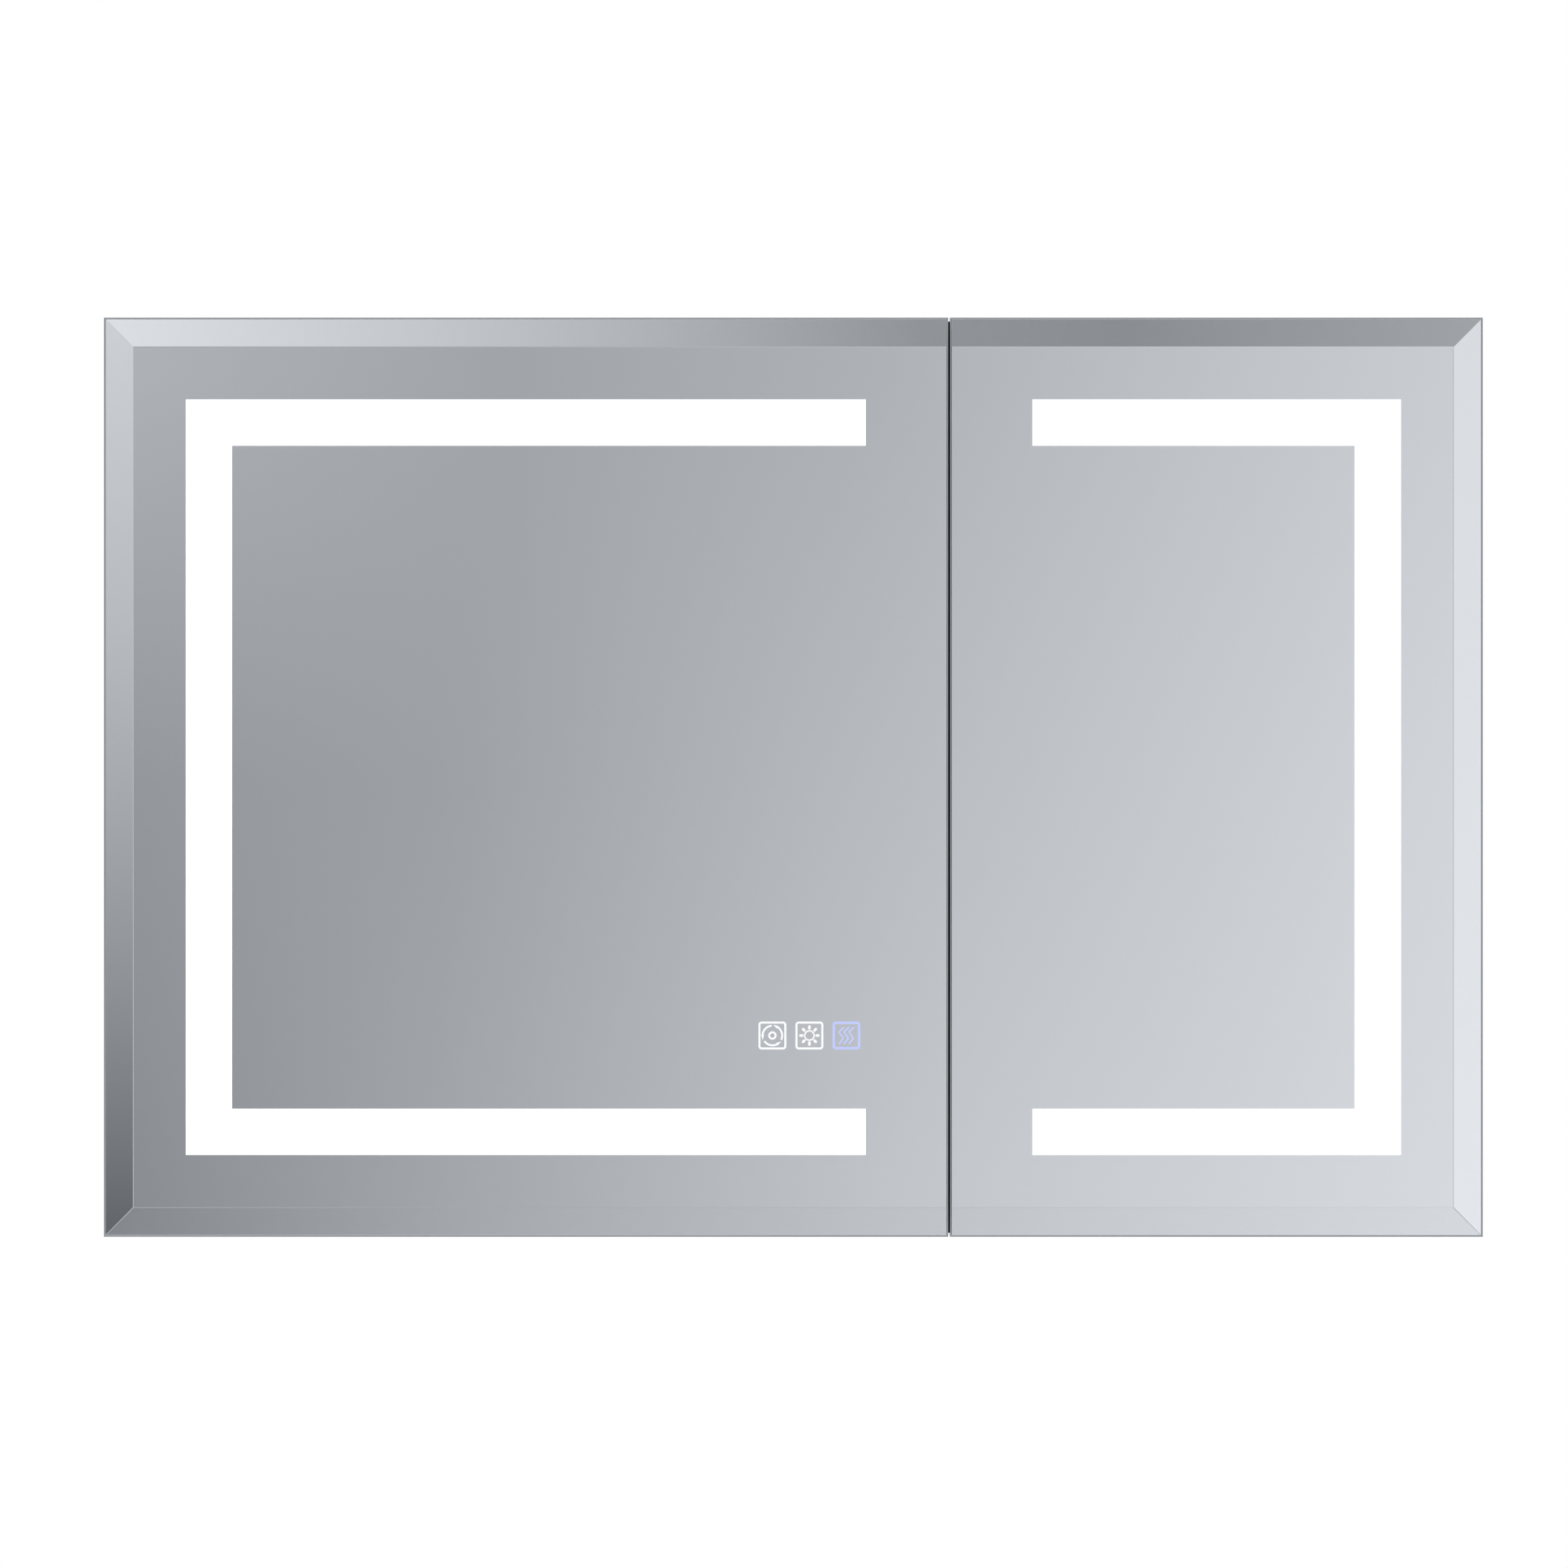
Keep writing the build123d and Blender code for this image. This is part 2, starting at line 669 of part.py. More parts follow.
with BuildSketch() as colour_glyph:
    Circle(hub_radius)
    Circle(hub_bore, mode=Mode.SUBTRACT)
    for start in (first_arc, first_arc + 120, first_arc + 240):
        outer = glyph_radius + glyph_stroke / 2
        inner = glyph_radius - glyph_stroke / 2
        turn = start + arc_sweep
        with BuildLine():
            CenterArc((0, 0), outer, start, arc_sweep)
            Polyline(
                polar(outer, turn),
                polar(glyph_radius + head_half, turn),
                polar(tip_radius, turn + head_sweep),
                polar(glyph_radius - head_half, turn),
                polar(inner, turn),
            )
            CenterArc((0, 0), inner, turn, -arc_sweep)
            Line(polar(inner, start), polar(outer, start))
        make_face()

with BuildSketch() as light_glyph:
    Circle(sun_radius)
    Circle(sun_bore, mode=Mode.SUBTRACT)
    with PolarLocations(ray_middle, 8):
        SlotOverall(ray_length, ray_width)

with BuildSketch() as defog_glyph:
    for shift in (-wave_pitch, 0, wave_pitch):
        with BuildLine():
            FilletPolyline(*[(x + shift, z) for x, z in wave_points], radius=wave_bend)
        trace(line_width=wave_stroke)

glyphs = {
    "colour": (colour_glyph.sketch, icon_stroke),
    "light": (light_glyph.sketch, icon_stroke),
    "defog": (defog_glyph.sketch, icon_bold_stroke),
}
icon_marks = {}
for place, (name, (glyph, stroke)) in enumerate(glyphs.items()):
    with BuildSketch() as icon_mark:
        with Locations((split_x - icon_last - (2 - place) * icon_pitch, icon_height)):
            RectangleRounded(icon_frame, icon_frame, icon_corner)
            RectangleRounded(
                icon_frame - 2 * stroke,
                icon_frame - 2 * stroke,
                icon_corner - stroke,
                mode=Mode.SUBTRACT,
            )
            add(glyph)
    icon_marks[name] = icon_mark.sketch

for name, mark in icon_marks.items():
    with BuildPart() as touch_icon:
        with BuildSketch(in_door(silver_back)):
            add(mark)
        extrude(amount=silver)
    write(touch_icon, f"touch_icon_{name}")

icon_reach = icon_frame / 2 + board_margin
board_x = (split_x - icon_last - 2 * icon_pitch - icon_reach, split_x - icon_last + icon_reach)
socket_width = 12.0
socket_depth = 5.0
socket_height = 6.0
with BuildPart() as touch_board:
    with BuildSketch(in_door(silver_back)):
        area(board_x, (icon_height - icon_reach, icon_height + icon_reach))
    extrude(amount=-board_thickness)
    with BuildSketch(in_door(silver_back - board_thickness)):
        with Locations(((board_x[0] + board_x[1]) / 2, icon_height - icon_reach + socket_height)):
            Rectangle(socket_width, socket_height)
    extrude(amount=-socket_depth)
write(touch_board, "touch_board")

# ======================================================================= doors
with BuildPart() as defogger_pad:
    with BuildSketch(in_door(silver_back)):
        area(
            (from_hinge("left", band_inset + band_width + 40), split_x - icon_last - 30),
            (icon_height + icon_frame + 40, half_height - band_inset - band_width - 40),
        )
    extrude(amount=-pad_thickness)
    fillet(defogger_pad.edges().filter_by(Axis.Y), radius=10.0)
write(defogger_pad, "defogger_pad")


def band_outline(side, grow):
    """Corner spans of a lit band: its outside, and the space it runs round."""
    hinge_end = from_hinge(side, band_inset - grow)
    far_end = split_x + sign[side] * (band_end - grow)
    inner_hinge = from_hinge(side, band_inset + band_width + grow)
    past_end = split_x
    outer_z = half_height - band_inset + grow
    inner_z = half_height - band_inset - band_width - grow
    return (hinge_end, far_end), (-outer_z, outer_z), (inner_hinge, past_end), (-inner_z, inner_z)


for side in sides:
    outline = sorted((hinge_x[side], meeting_x[side]))
    frame_reach = lip + frame_flange + 1.0
    pieces = mitred(outline[0], outline[1], -half_height, half_height, frame_reach)
    centre = ((outline[0] + outline[1]) / 2, 0)
    door_width = outline[1] - outline[0]
    housing_x = (from_hinge(side, lip), from_hinge(side, housing_end + key_clearance))

    # Aluminium frame: a thin wall with a flange for the tray and a ledge for the glass.
    for edge, corners in pieces.items():
        name = {"top": "top_rail", "bottom": "bottom_rail"}.get(
            edge, "hinge_stile" if edge == side else "meeting_stile"
        )
        with BuildPart() as rail:
            with BuildSketch(in_door(0)):
                with Locations(centre):
                    Rectangle(door_width, height)
                    Rectangle(door_width - 2 * lip, height - 2 * lip, mode=Mode.SUBTRACT)
            extrude(amount=door_depth - bevel_drop)
            for depth, thickness in (
                (tray_front, flange_thickness),
                (silver_back - frame_ledge, frame_ledge),
            ):
                with BuildSketch(in_door(depth)):
                    with Locations(centre):
                        Rectangle(door_width - lip, height - lip)
                        Rectangle(
                            door_width - 2 * (lip + frame_flange),
                            height - 2 * (lip + frame_flange),
                            mode=Mode.SUBTRACT,
                        )
                extrude(amount=thickness)
            with BuildSketch(in_door(0)):
                with BuildLine():
                    Polyline(*corners, close=True)
                make_face()
            extrude(amount=door_depth, mode=Mode.INTERSECT)
            if name == "hinge_stile":
                for level in hinge_heights:
                    block(
                        (hinge_x[side], housing_x[1]),
                        (door_y(0), door_y(notch_depth)),
                        (level - notch_half, level + notch_half),
                        mode=Mode.SUBTRACT,
                    )
                    block(
                        housing_x,
                        (door_y(0), door_y(silver_back)),
                        (level - housing_cut, level + housing_cut),
                        mode=Mode.SUBTRACT,
                    )
        write(rail, f"{side}_door_{name}")

    # Tray behind the lights, cut out round the hinge housings.
    with BuildPart() as back_tray:
        with BuildSketch(in_door(inner_mirror)):
            with Locations(centre):
                Rectangle(door_width - 2 * (lip + glass_clearance), height - 2 * (lip + glass_clearance))
            for level in hinge_heights:
                area(housing_x, (level - housing_cut, level + housing_cut), mode=Mode.SUBTRACT)
        extrude(amount=tray)
    write(back_tray, f"{side}_door_back_tray")

    # Bevelled pane: three bevelled edges, and a square edge where the doors meet.
    with BuildPart() as pane:
        with BuildSketch(in_door(glass_back)):
            with Locations(centre):
                Rectangle(door_width - 2 * (lip + glass_clearance), height - 2 * (lip + glass_clearance))
        extrude(amount=glass)
        face = pane.faces().sort_by(Axis.Y)[0]
        meeting_edge = face.edges().sort_by(Axis.X)[-1 if side == "left" else 0]
        chamfer(
            face.edges() - ShapeList([meeting_edge]),
            length=bevel_width - lip - glass_clearance,
            length2=bevel_drop,
            reference=face,
        )
    write(pane, f"{side}_mirror_glass")

    # Silvering on the back of the pane, with clear windows for the lights.
    band_x, band_z, hollow_x, hollow_z = band_outline(side, 0)
    with BuildSketch() as window:
        area(band_x, band_z)
        area(hollow_x, hollow_z, mode=Mode.SUBTRACT)
    with BuildPart() as silvering:
        with BuildSketch(in_door(silver_back)):
            with Locations(centre):
                Rectangle(door_width - 2 * (lip + glass_clearance), height - 2 * (lip + glass_clearance))
            add(window.sketch, mode=Mode.SUBTRACT)
            if side == "left":
                for mark in icon_marks.values():
                    add(mark, mode=Mode.SUBTRACT)
        extrude(amount=silver)
    write(silvering, f"{side}_mirror_silvering")

    band_x, band_z, hollow_x, hollow_z = band_outline(side, diffuser_overlap)
    with BuildPart() as light_diffuser:
        with BuildSketch(in_door(silver_back)):
            area(band_x, band_z)
            area(hollow_x, hollow_z, mode=Mode.SUBTRACT)
        extrude(amount=-diffuser)
    write(light_diffuser, f"{side}_light_diffuser")

    # Lights: a board behind the middle of the band, with a row of chips.
    edge_gap = (led_board_width - band_width) / 2
    band_x, band_z, hollow_x, hollow_z = band_outline(side, edge_gap)
    row_z = half_height - band_middle
    row_ends = sorted((band_x[0], band_x[1]))
    row_count = int((row_ends[1] - row_ends[0]) // led_pitch)
    column_count = int(2 * (row_z - led_board_width) // led_pitch)
    with BuildPart() as led_strips:
        with BuildSketch(in_door(tray_front)):
            area(band_x, band_z)
            area(hollow_x, hollow_z, mode=Mode.SUBTRACT)
        extrude(amount=led_board)
        with BuildSketch(in_door(tray_front + led_board)):
            for level in (-row_z, row_z):
                with Locations(((row_ends[0] + row_ends[1]) / 2, level)):
                    with GridLocations(led_pitch, 1, row_count, 1):
                        Rectangle(led_chip, led_chip)
            with Locations((from_hinge(side, band_middle), 0)):
                with GridLocations(1, led_pitch, 1, column_count):
                    Rectangle(led_chip, led_chip)
        extrude(amount=led_chip_height)
    write(led_strips, f"{side}_led_strips")

    # Mirror on the inside of the door.
    strike_middle = split_x + sign[side] * (panel / 2 + magnet_width / 2)
    mirror_end = split_x + sign[side] * (panel / 2 + magnet_width)
    with BuildPart() as door_inner_mirror:
        with BuildSketch(in_door(0)):
            area(
                (from_hinge(side, mirror_hinge_margin), mirror_end),
                (-half_height + mirror_margin, half_height - mirror_margin),
            )
        extrude(amount=inner_mirror)
    write(door_inner_mirror, f"{side}_inner_mirror")

    # Hinge housings let into the door, open at the back and at the edge.
    with BuildPart() as housings:
        for level in hinge_heights:
            block(
                (from_hinge(side, lip), from_hinge(side, housing_end)),
                (door_y(0), door_y(notch_depth + housing_web)),
                (level - housing_half, level + housing_half),
            )
            block(
                (from_hinge(side, lip), from_hinge(side, housing_end - housing_web)),
                (door_y(0), door_y(notch_depth)),
                (level - notch_half, level + notch_half),
                mode=Mode.SUBTRACT,
            )
            with Locations((from_hinge(side, pivot_in), door_y(pivot_back), level)):
                Cylinder(pin_radius, 2 * housing_half, mode=Mode.SUBTRACT)
    write(housings, f"{side}_hinge_housings")

    with BuildPart() as pins:
        for level in hinge_heights:
            with Locations((from_hinge(side, pivot_in), door_y(pivot_back), level)):
                Cylinder(pin_radius, 2 * housing_half)
    write(pins, f"{side}_hinge_pins")

    bumper_z = body_half_height - panel / 2
    with BuildPart() as bumpers:
        with BuildSketch(in_door(inner_mirror)):
            with Locations(*[(split_x + sign[side] * bumper_inset, s * bumper_z) for s in (-1, 1)]):
                Circle(bumper_radius)
        extrude(amount=-(inner_mirror + door_standoff - magnet_clearance))
        fillet(bumpers.faces().filter_by(Axis.Y).sort_by(Axis.Y)[-2:].edges(), radius=1.0)
    write(bumpers, f"{side}_door_bumpers")

    with BuildPart() as catch_strike:
        block(
            (strike_middle - strike_width / 2, strike_middle + strike_width / 2),
            (door_y(0), door_y(inner_mirror)),
            (-magnet_height / 2, magnet_height / 2),
        )
        fillet(catch_strike.edges().filter_by(Axis.Y), radius=1.0)
    write(catch_strike, f"{side}_catch_strike")
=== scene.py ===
import json
import math

import bmesh
import bpy
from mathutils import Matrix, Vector

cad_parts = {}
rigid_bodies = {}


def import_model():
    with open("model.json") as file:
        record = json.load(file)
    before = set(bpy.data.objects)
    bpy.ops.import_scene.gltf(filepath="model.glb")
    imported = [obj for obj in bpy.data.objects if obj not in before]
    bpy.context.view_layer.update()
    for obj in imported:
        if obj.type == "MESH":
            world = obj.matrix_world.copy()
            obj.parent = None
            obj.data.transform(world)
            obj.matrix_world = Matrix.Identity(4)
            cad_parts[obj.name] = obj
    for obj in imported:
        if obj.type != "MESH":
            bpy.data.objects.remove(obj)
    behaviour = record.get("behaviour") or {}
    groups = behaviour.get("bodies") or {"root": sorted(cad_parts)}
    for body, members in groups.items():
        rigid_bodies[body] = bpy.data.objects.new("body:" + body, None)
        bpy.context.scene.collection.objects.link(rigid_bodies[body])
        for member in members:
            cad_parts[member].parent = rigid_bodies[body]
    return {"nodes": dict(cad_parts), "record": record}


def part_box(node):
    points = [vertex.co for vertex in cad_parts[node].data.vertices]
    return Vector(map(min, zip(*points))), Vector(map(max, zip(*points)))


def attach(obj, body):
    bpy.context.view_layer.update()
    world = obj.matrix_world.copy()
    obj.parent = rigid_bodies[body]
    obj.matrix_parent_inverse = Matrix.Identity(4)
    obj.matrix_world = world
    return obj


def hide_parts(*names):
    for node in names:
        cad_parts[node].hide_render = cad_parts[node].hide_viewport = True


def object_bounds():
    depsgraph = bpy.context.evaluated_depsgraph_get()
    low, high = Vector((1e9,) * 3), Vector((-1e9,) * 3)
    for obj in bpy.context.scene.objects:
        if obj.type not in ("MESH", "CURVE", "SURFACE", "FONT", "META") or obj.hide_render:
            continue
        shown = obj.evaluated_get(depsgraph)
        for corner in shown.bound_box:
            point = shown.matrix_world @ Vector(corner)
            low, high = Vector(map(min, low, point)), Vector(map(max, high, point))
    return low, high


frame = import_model()
cad_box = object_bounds()

# A medicine cabinet that hangs on a wall, with two bevelled mirror doors,
# lit bands and touch icons. Metres; -Y faces the user.

MM = 0.001
BODY_OF = {node: body for body, nodes in frame["record"]["behaviour"]["bodies"].items() for node in nodes}
SLOT_OF = {part["node"]: part["material_slot"] for part in frame["record"]["subparts"]}
SIDES = ("left", "right")
SIGN = {"left": -1, "right": 1}

# Sizes that the frame doesn't give by itself.
BEVEL_WIDTH = 18.4 * MM
BEVEL_DROP = 2.0 * MM
PANE_LIFT = 0.05 * MM  # thin gap between the pane and its silvering
PANE_ARRIS = 0.2 * MM
SHELF = 5.0 * MM
SHELF_ROUNDING = 1.6 * MM
SCREW_RADIUS = 2.3 * MM
SCREW_HEIGHT = 1.3 * MM
ON_THE_CUT = 0.001 * MM  # points nearer to a cut than this lie on it


# ------------------------------------------------------------------ modelling
def deselect():
    """Leaves nothing selected and no edit mode open."""
    if bpy.context.object and bpy.context.object.mode != "OBJECT":
        bpy.ops.object.mode_set(mode="OBJECT")
    bpy.ops.object.select_all(action="DESELECT")


def settle(piece, name):
    """Names a new piece and moves its place and turn into its mesh."""
    piece.name = name
    piece.data.name = name
    bpy.ops.object.transform_apply(location=True, rotation=True, scale=True)
    return piece


def add_block(name, low, high):
    """A block between two corners."""
    deselect()
    low, high = Vector(low), Vector(high)
    bpy.ops.mesh.primitive_cube_add(size=1, location=(low + high) / 2)
    piece = bpy.context.object
    piece.scale = high - low
    return settle(piece, name)


def add_rod(name, centre, radius, length, axis="Z", vertices=48):
    """A rod along one axis."""
    deselect()
    turn = {"X": (0, math.pi / 2, 0), "Y": (math.pi / 2, 0, 0), "Z": (0, 0, 0)}[axis]
    bpy.ops.mesh.primitive_cylinder_add(
        vertices=vertices, radius=radius, depth=length, location=centre, rotation=turn
    )
    return settle(bpy.context.object, name)


def choose_faces(piece, test):
    """Opens edit mode with only the faces that pass the test selected."""
    bpy.context.view_layer.objects.active = piece
    piece.select_set(True)
    if piece.mode != "EDIT":
        bpy.ops.object.mode_set(mode="EDIT")
    bpy.ops.mesh.select_mode(type="FACE")
    bpy.ops.mesh.select_all(action="DESELECT")
    mesh = bmesh.from_edit_mesh(piece.data)
    for face in mesh.faces:
        face.select_set(test(face))
    bmesh.update_edit_mesh(piece.data)


def leave_edit():
    bpy.ops.object.mode_set(mode="OBJECT")


def slice_off(piece, place, outward):
    """Cuts away what lies beyond a plane and closes the cut."""
    bpy.context.view_layer.objects.active = piece
    bpy.ops.object.mode_set(mode="EDIT")
    bpy.ops.mesh.select_all(action="SELECT")
    bpy.ops.mesh.bisect(
        plane_co=place,
        plane_no=Vector(outward).normalized(),
        use_fill=True,
        clear_outer=True,
        threshold=ON_THE_CUT,
    )
    leave_edit()


def round_edges(piece, width, segments=3, angle=30, smooth=30):
    """Rounds the sharp edges; with smooth, shades the roundings smooth and keeps the faces flat."""
    bpy.context.view_layer.objects.active = piece
    piece.select_set(True)
    bevel = piece.modifiers.new("rounding", "BEVEL")
    bevel.width = width
    bevel.segments = segments
    bevel.limit_method = "ANGLE"
    bevel.angle_limit = math.radians(angle)
    bpy.ops.object.modifier_apply(modifier=bevel.name)
    if smooth:
        bpy.ops.object.shade_smooth_by_angle(angle=math.radians(smooth))
        weighted = piece.modifiers.new("flat_faces", "WEIGHTED_NORMAL")
        weighted.keep_sharp = True
        bpy.ops.object.modifier_apply(modifier=weighted.name)


def copy_of(piece, name, shift):
    """A copy with its own mesh, moved in its mesh."""
    deselect()
    twin = piece.copy()
    twin.data = piece.data.copy()
    bpy.context.collection.objects.link(twin)
    twin.name = name
    for vertex in twin.data.vertices:
        vertex.co += Vector(shift)
    return twin


def joined(pieces, name):
    """Several pieces as one."""
    deselect()
    for piece in pieces:
        piece.select_set(True)
    bpy.context.view_layer.objects.active = pieces[0]
    bpy.ops.object.join()
    pieces[0].name = name
    pieces[0].data.name = name
    return pieces[0]


def stands_for(piece, node):
    """The piece takes a node's place, body and finish."""
    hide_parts(node)
    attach(piece, BODY_OF[node])
    piece["finish"] = SLOT_OF[node]
    return piece


def goes_with(piece, node, finish=None):
    """An extra detail that rides on a node's body."""
    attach(piece, BODY_OF[node])
    piece["finish"] = finish or SLOT_OF[node]
    return piece


def make_mirror_pane(side):
    """A pane with a broad bevel on three edges and ground arrises all round."""
    node = f"{side}_mirror_glass"
    low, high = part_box(node)
    outer_x = low.x if side == "left" else high.x
    out = SIGN[side]
    pane = add_block(f"{side}_mirror_pane", low, (high.x, high.y - PANE_LIFT, high.z))
    front = low.y
    drop, width = BEVEL_DROP, BEVEL_WIDTH
    slice_off(pane, (outer_x, front + drop, 0), (out * drop, -width, 0))
    slice_off(pane, (0, front + drop, high.z), (0, -width, drop))
    slice_off(pane, (0, front + drop, low.z), (0, -width, -drop))
    round_edges(pane, PANE_ARRIS, segments=2, angle=40, smooth=None)
    return stands_for(pane, node)


def make_shelves(side):
    """Two glass shelves with rounded, polished edges."""
    node = f"{side}_shelves"
    low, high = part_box(node)
    lower = add_block("lower_shelf", low, (high.x, high.y, low.z + SHELF))
    round_edges(lower, SHELF_ROUNDING, segments=4)
    upper = copy_of(lower, "upper_shelf", (0, 0, high.z - low.z - SHELF))
    return stands_for(joined([lower, upper], f"{side}_glass_shelves"), node)


def cut_lines(piece, axis, places):
    """Adds an edge all round the piece at each place along an axis."""
    bpy.context.view_layer.objects.active = piece
    bpy.ops.object.mode_set(mode="EDIT")
    across = Vector([float(axis == name) for name in "XYZ"])
    for place in places:
        bpy.ops.mesh.select_all(action="SELECT")
        bpy.ops.mesh.bisect(plane_co=across * place, plane_no=across, threshold=ON_THE_CUT)
    leave_edit()


def push_faces(piece, test, shift, inset=0.0):
    """Insets the faces that pass the test, if asked, and extrudes them by the shift."""
    choose_faces(piece, test)
    if inset:
        bpy.ops.mesh.inset(thickness=inset)
    bpy.ops.mesh.extrude_region_move(TRANSFORM_OT_translate={"value": shift})
    leave_edit()


def bore_through(piece, wall):
    """Opens a hole through both ends of a rod that lies along Y, leaving a wall."""
    choose_faces(piece, lambda face: abs(face.normal.y) > 0.99)
    bpy.ops.mesh.inset(thickness=wall)
    bpy.ops.mesh.delete(type="FACE")
    bpy.ops.mesh.select_mode(type="EDGE")
    bpy.ops.mesh.select_non_manifold()
    bpy.ops.mesh.bridge_edge_loops()
    bpy.ops.mesh.select_all(action="SELECT")
    bpy.ops.mesh.normals_make_consistent(inside=False)
    leave_edit()


def placed_copy(piece, name, spot, turn=(0, 0, 0)):
    """A turned copy of a small piece that was modelled at the origin."""
    twin = copy_of(piece, name, (0, 0, 0))
    twin.select_set(True)
    bpy.context.view_layer.objects.active = twin
    twin.location = spot
    twin.rotation_euler = turn
    return settle(twin, name)


def scrap(piece):
    """Removes a pattern piece once its copies are made."""
    bpy.data.objects.remove(piece, do_unlink=True)


def make_screw_pattern(radius, height):
    """A pan-head screw with a cross recess; its head looks along -Y from the origin."""
    head = add_rod("screw_pattern", (0, -height / 2, 0), radius, height, "Y", 40)
    rounding, recess = height * 0.42, height * 0.5
    round_edges(head, rounding, segments=4)
    arm, half = radius * 0.56, radius * 0.13
    for axis in "XZ":
        cut_lines(head, axis, (-arm, -half, half, arm))

    def in_cross(face):
        spot = face.calc_center_median()
        short, long = sorted((abs(spot.x), abs(spot.z)))
        return face.normal.y < -0.9 and spot.y < -height * 0.9 and short < half and long < arm

    push_faces(head, in_cross, (0, recess, 0))
    return head


def make_box_cover():
    """The wiring box's cover: a recessed panel with two rows of vents, and a lip inside."""
    node = "wiring_box_cover"
    low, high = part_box(node)
    plate, border, recess = 2 * MM, 5 * MM, 0.5 * MM
    plate_back = low.y + plate
    cover = add_block("box_cover", low, (high.x, plate_back, high.z))
    push_faces(cover, lambda face: face.normal.y < -0.9, (0, recess, 0), inset=border)
    floor_y = low.y + recess
    middle_z = (low.z + high.z) / 2
    slot_half, slot_reach, slot_depth = 1.0 * MM, 11 * MM, 1.2 * MM
    margin, pitch, count = 28 * MM, 5 * MM, 8
    starts = (low.x + margin, high.x - margin - pitch * (count - 1))
    slots = [start + pitch * step for start in starts for step in range(count)]
    cut_lines(cover, "X", [x + side * slot_half for x in slots for side in (-1, 1)])
    cut_lines(cover, "Z", (middle_z - slot_reach, middle_z + slot_reach))

    def in_slot(face):
        spot = face.calc_center_median()
        near = min(abs(spot.x - x) for x in slots)
        on_floor = face.normal.y < -0.9 and abs(spot.y - floor_y) < 0.1 * MM
        return on_floor and near < slot_half and abs(spot.z - middle_z) < slot_reach

    push_faces(cover, in_slot, (0, slot_depth, 0))
    round_edges(cover, 0.22 * MM, segments=2)
    wall, play = 2 * MM, 0.2 * MM
    lip = add_block(
        "cover_lip",
        (low.x + wall + play, plate_back, low.z + wall + play),
        (high.x - wall - play, high.y, high.z - wall - play),
    )
    push_faces(lip, lambda face: face.normal.y > 0.9, (0, plate_back - high.y, 0), inset=wall - play)
    return stands_for(joined([cover, lip], "vented_box_cover"), node)


def make_cover_screws(pattern):
    """Four screws that hold the cover."""
    low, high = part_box("wiring_box_cover")
    edge = 2.5 * MM
    columns, rows = (low.x + edge, high.x - edge), (low.z + edge, high.z - edge)
    spots = [(x, low.y, z) for x in columns for z in rows]
    heads = [placed_copy(pattern, f"cover_screw_{number}", spot) for number, spot in enumerate(spots)]
    return goes_with(joined(heads, "cover_screws"), "wiring_box_cover", "zinc_steel")


def make_catches(pattern):
    """Two magnetic catches: housings, pole plates in their mouths, and fixing screws."""
    node = "catch_magnets"
    low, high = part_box(node)
    width, rim, mouth, play = 10 * MM, 1.7 * MM, 1.2 * MM, 0.1 * MM
    house = add_block("left_catch", low, (low.x + width, high.y, high.z))
    push_faces(house, lambda face: face.normal.y < -0.9, (0, mouth, 0), inset=rim)
    round_edges(house, 0.5 * MM, segments=3)
    span = high.x - low.x - width
    twin = copy_of(house, "right_catch", (span, 0, 0))
    stands_for(joined([house, twin], "catch_housings"), node)

    left, right = low.x + rim + play, low.x + width - rim - play
    reach = high.z - rim - play
    thick, floor_y, arris = 1.4 * MM, low.y + mouth, 0.2 * MM
    plates = []
    for start in (left, right - thick):
        plate = add_block(
            "pole_plate", (start, low.y + 0.05 * MM, -reach), (start + thick, floor_y, reach)
        )
        round_edges(plate, arris, segments=2)
        plates.append(plate)
        plates.append(copy_of(plate, "pole_plate_twin", (span, 0, 0)))
    goes_with(joined(plates, "catch_pole_plates"), node, "strike_steel")
    core = add_block(
        "magnet_core",
        (left + thick + play, low.y + 0.3 * MM, -reach),
        (right - thick - play, floor_y, reach),
    )
    round_edges(core, arris, segments=2)
    cores = joined([core, copy_of(core, "magnet_core_twin", (span, 0, 0))], "catch_magnet_cores")
    goes_with(cores, node, "key_nylon")

    depth = (low.y + high.y) / 2
    screw_rise = 11 * MM
    heads = []
    for x, turn in ((low.x, -math.pi / 2), (high.x, math.pi / 2)):
        for z in (-screw_rise, screw_rise):
            heads.append(placed_copy(pattern, f"catch_screw_{len(heads)}", (x, depth, z), (0, 0, turn)))
    goes_with(joined(heads, "catch_screws"), node, "zinc_steel")


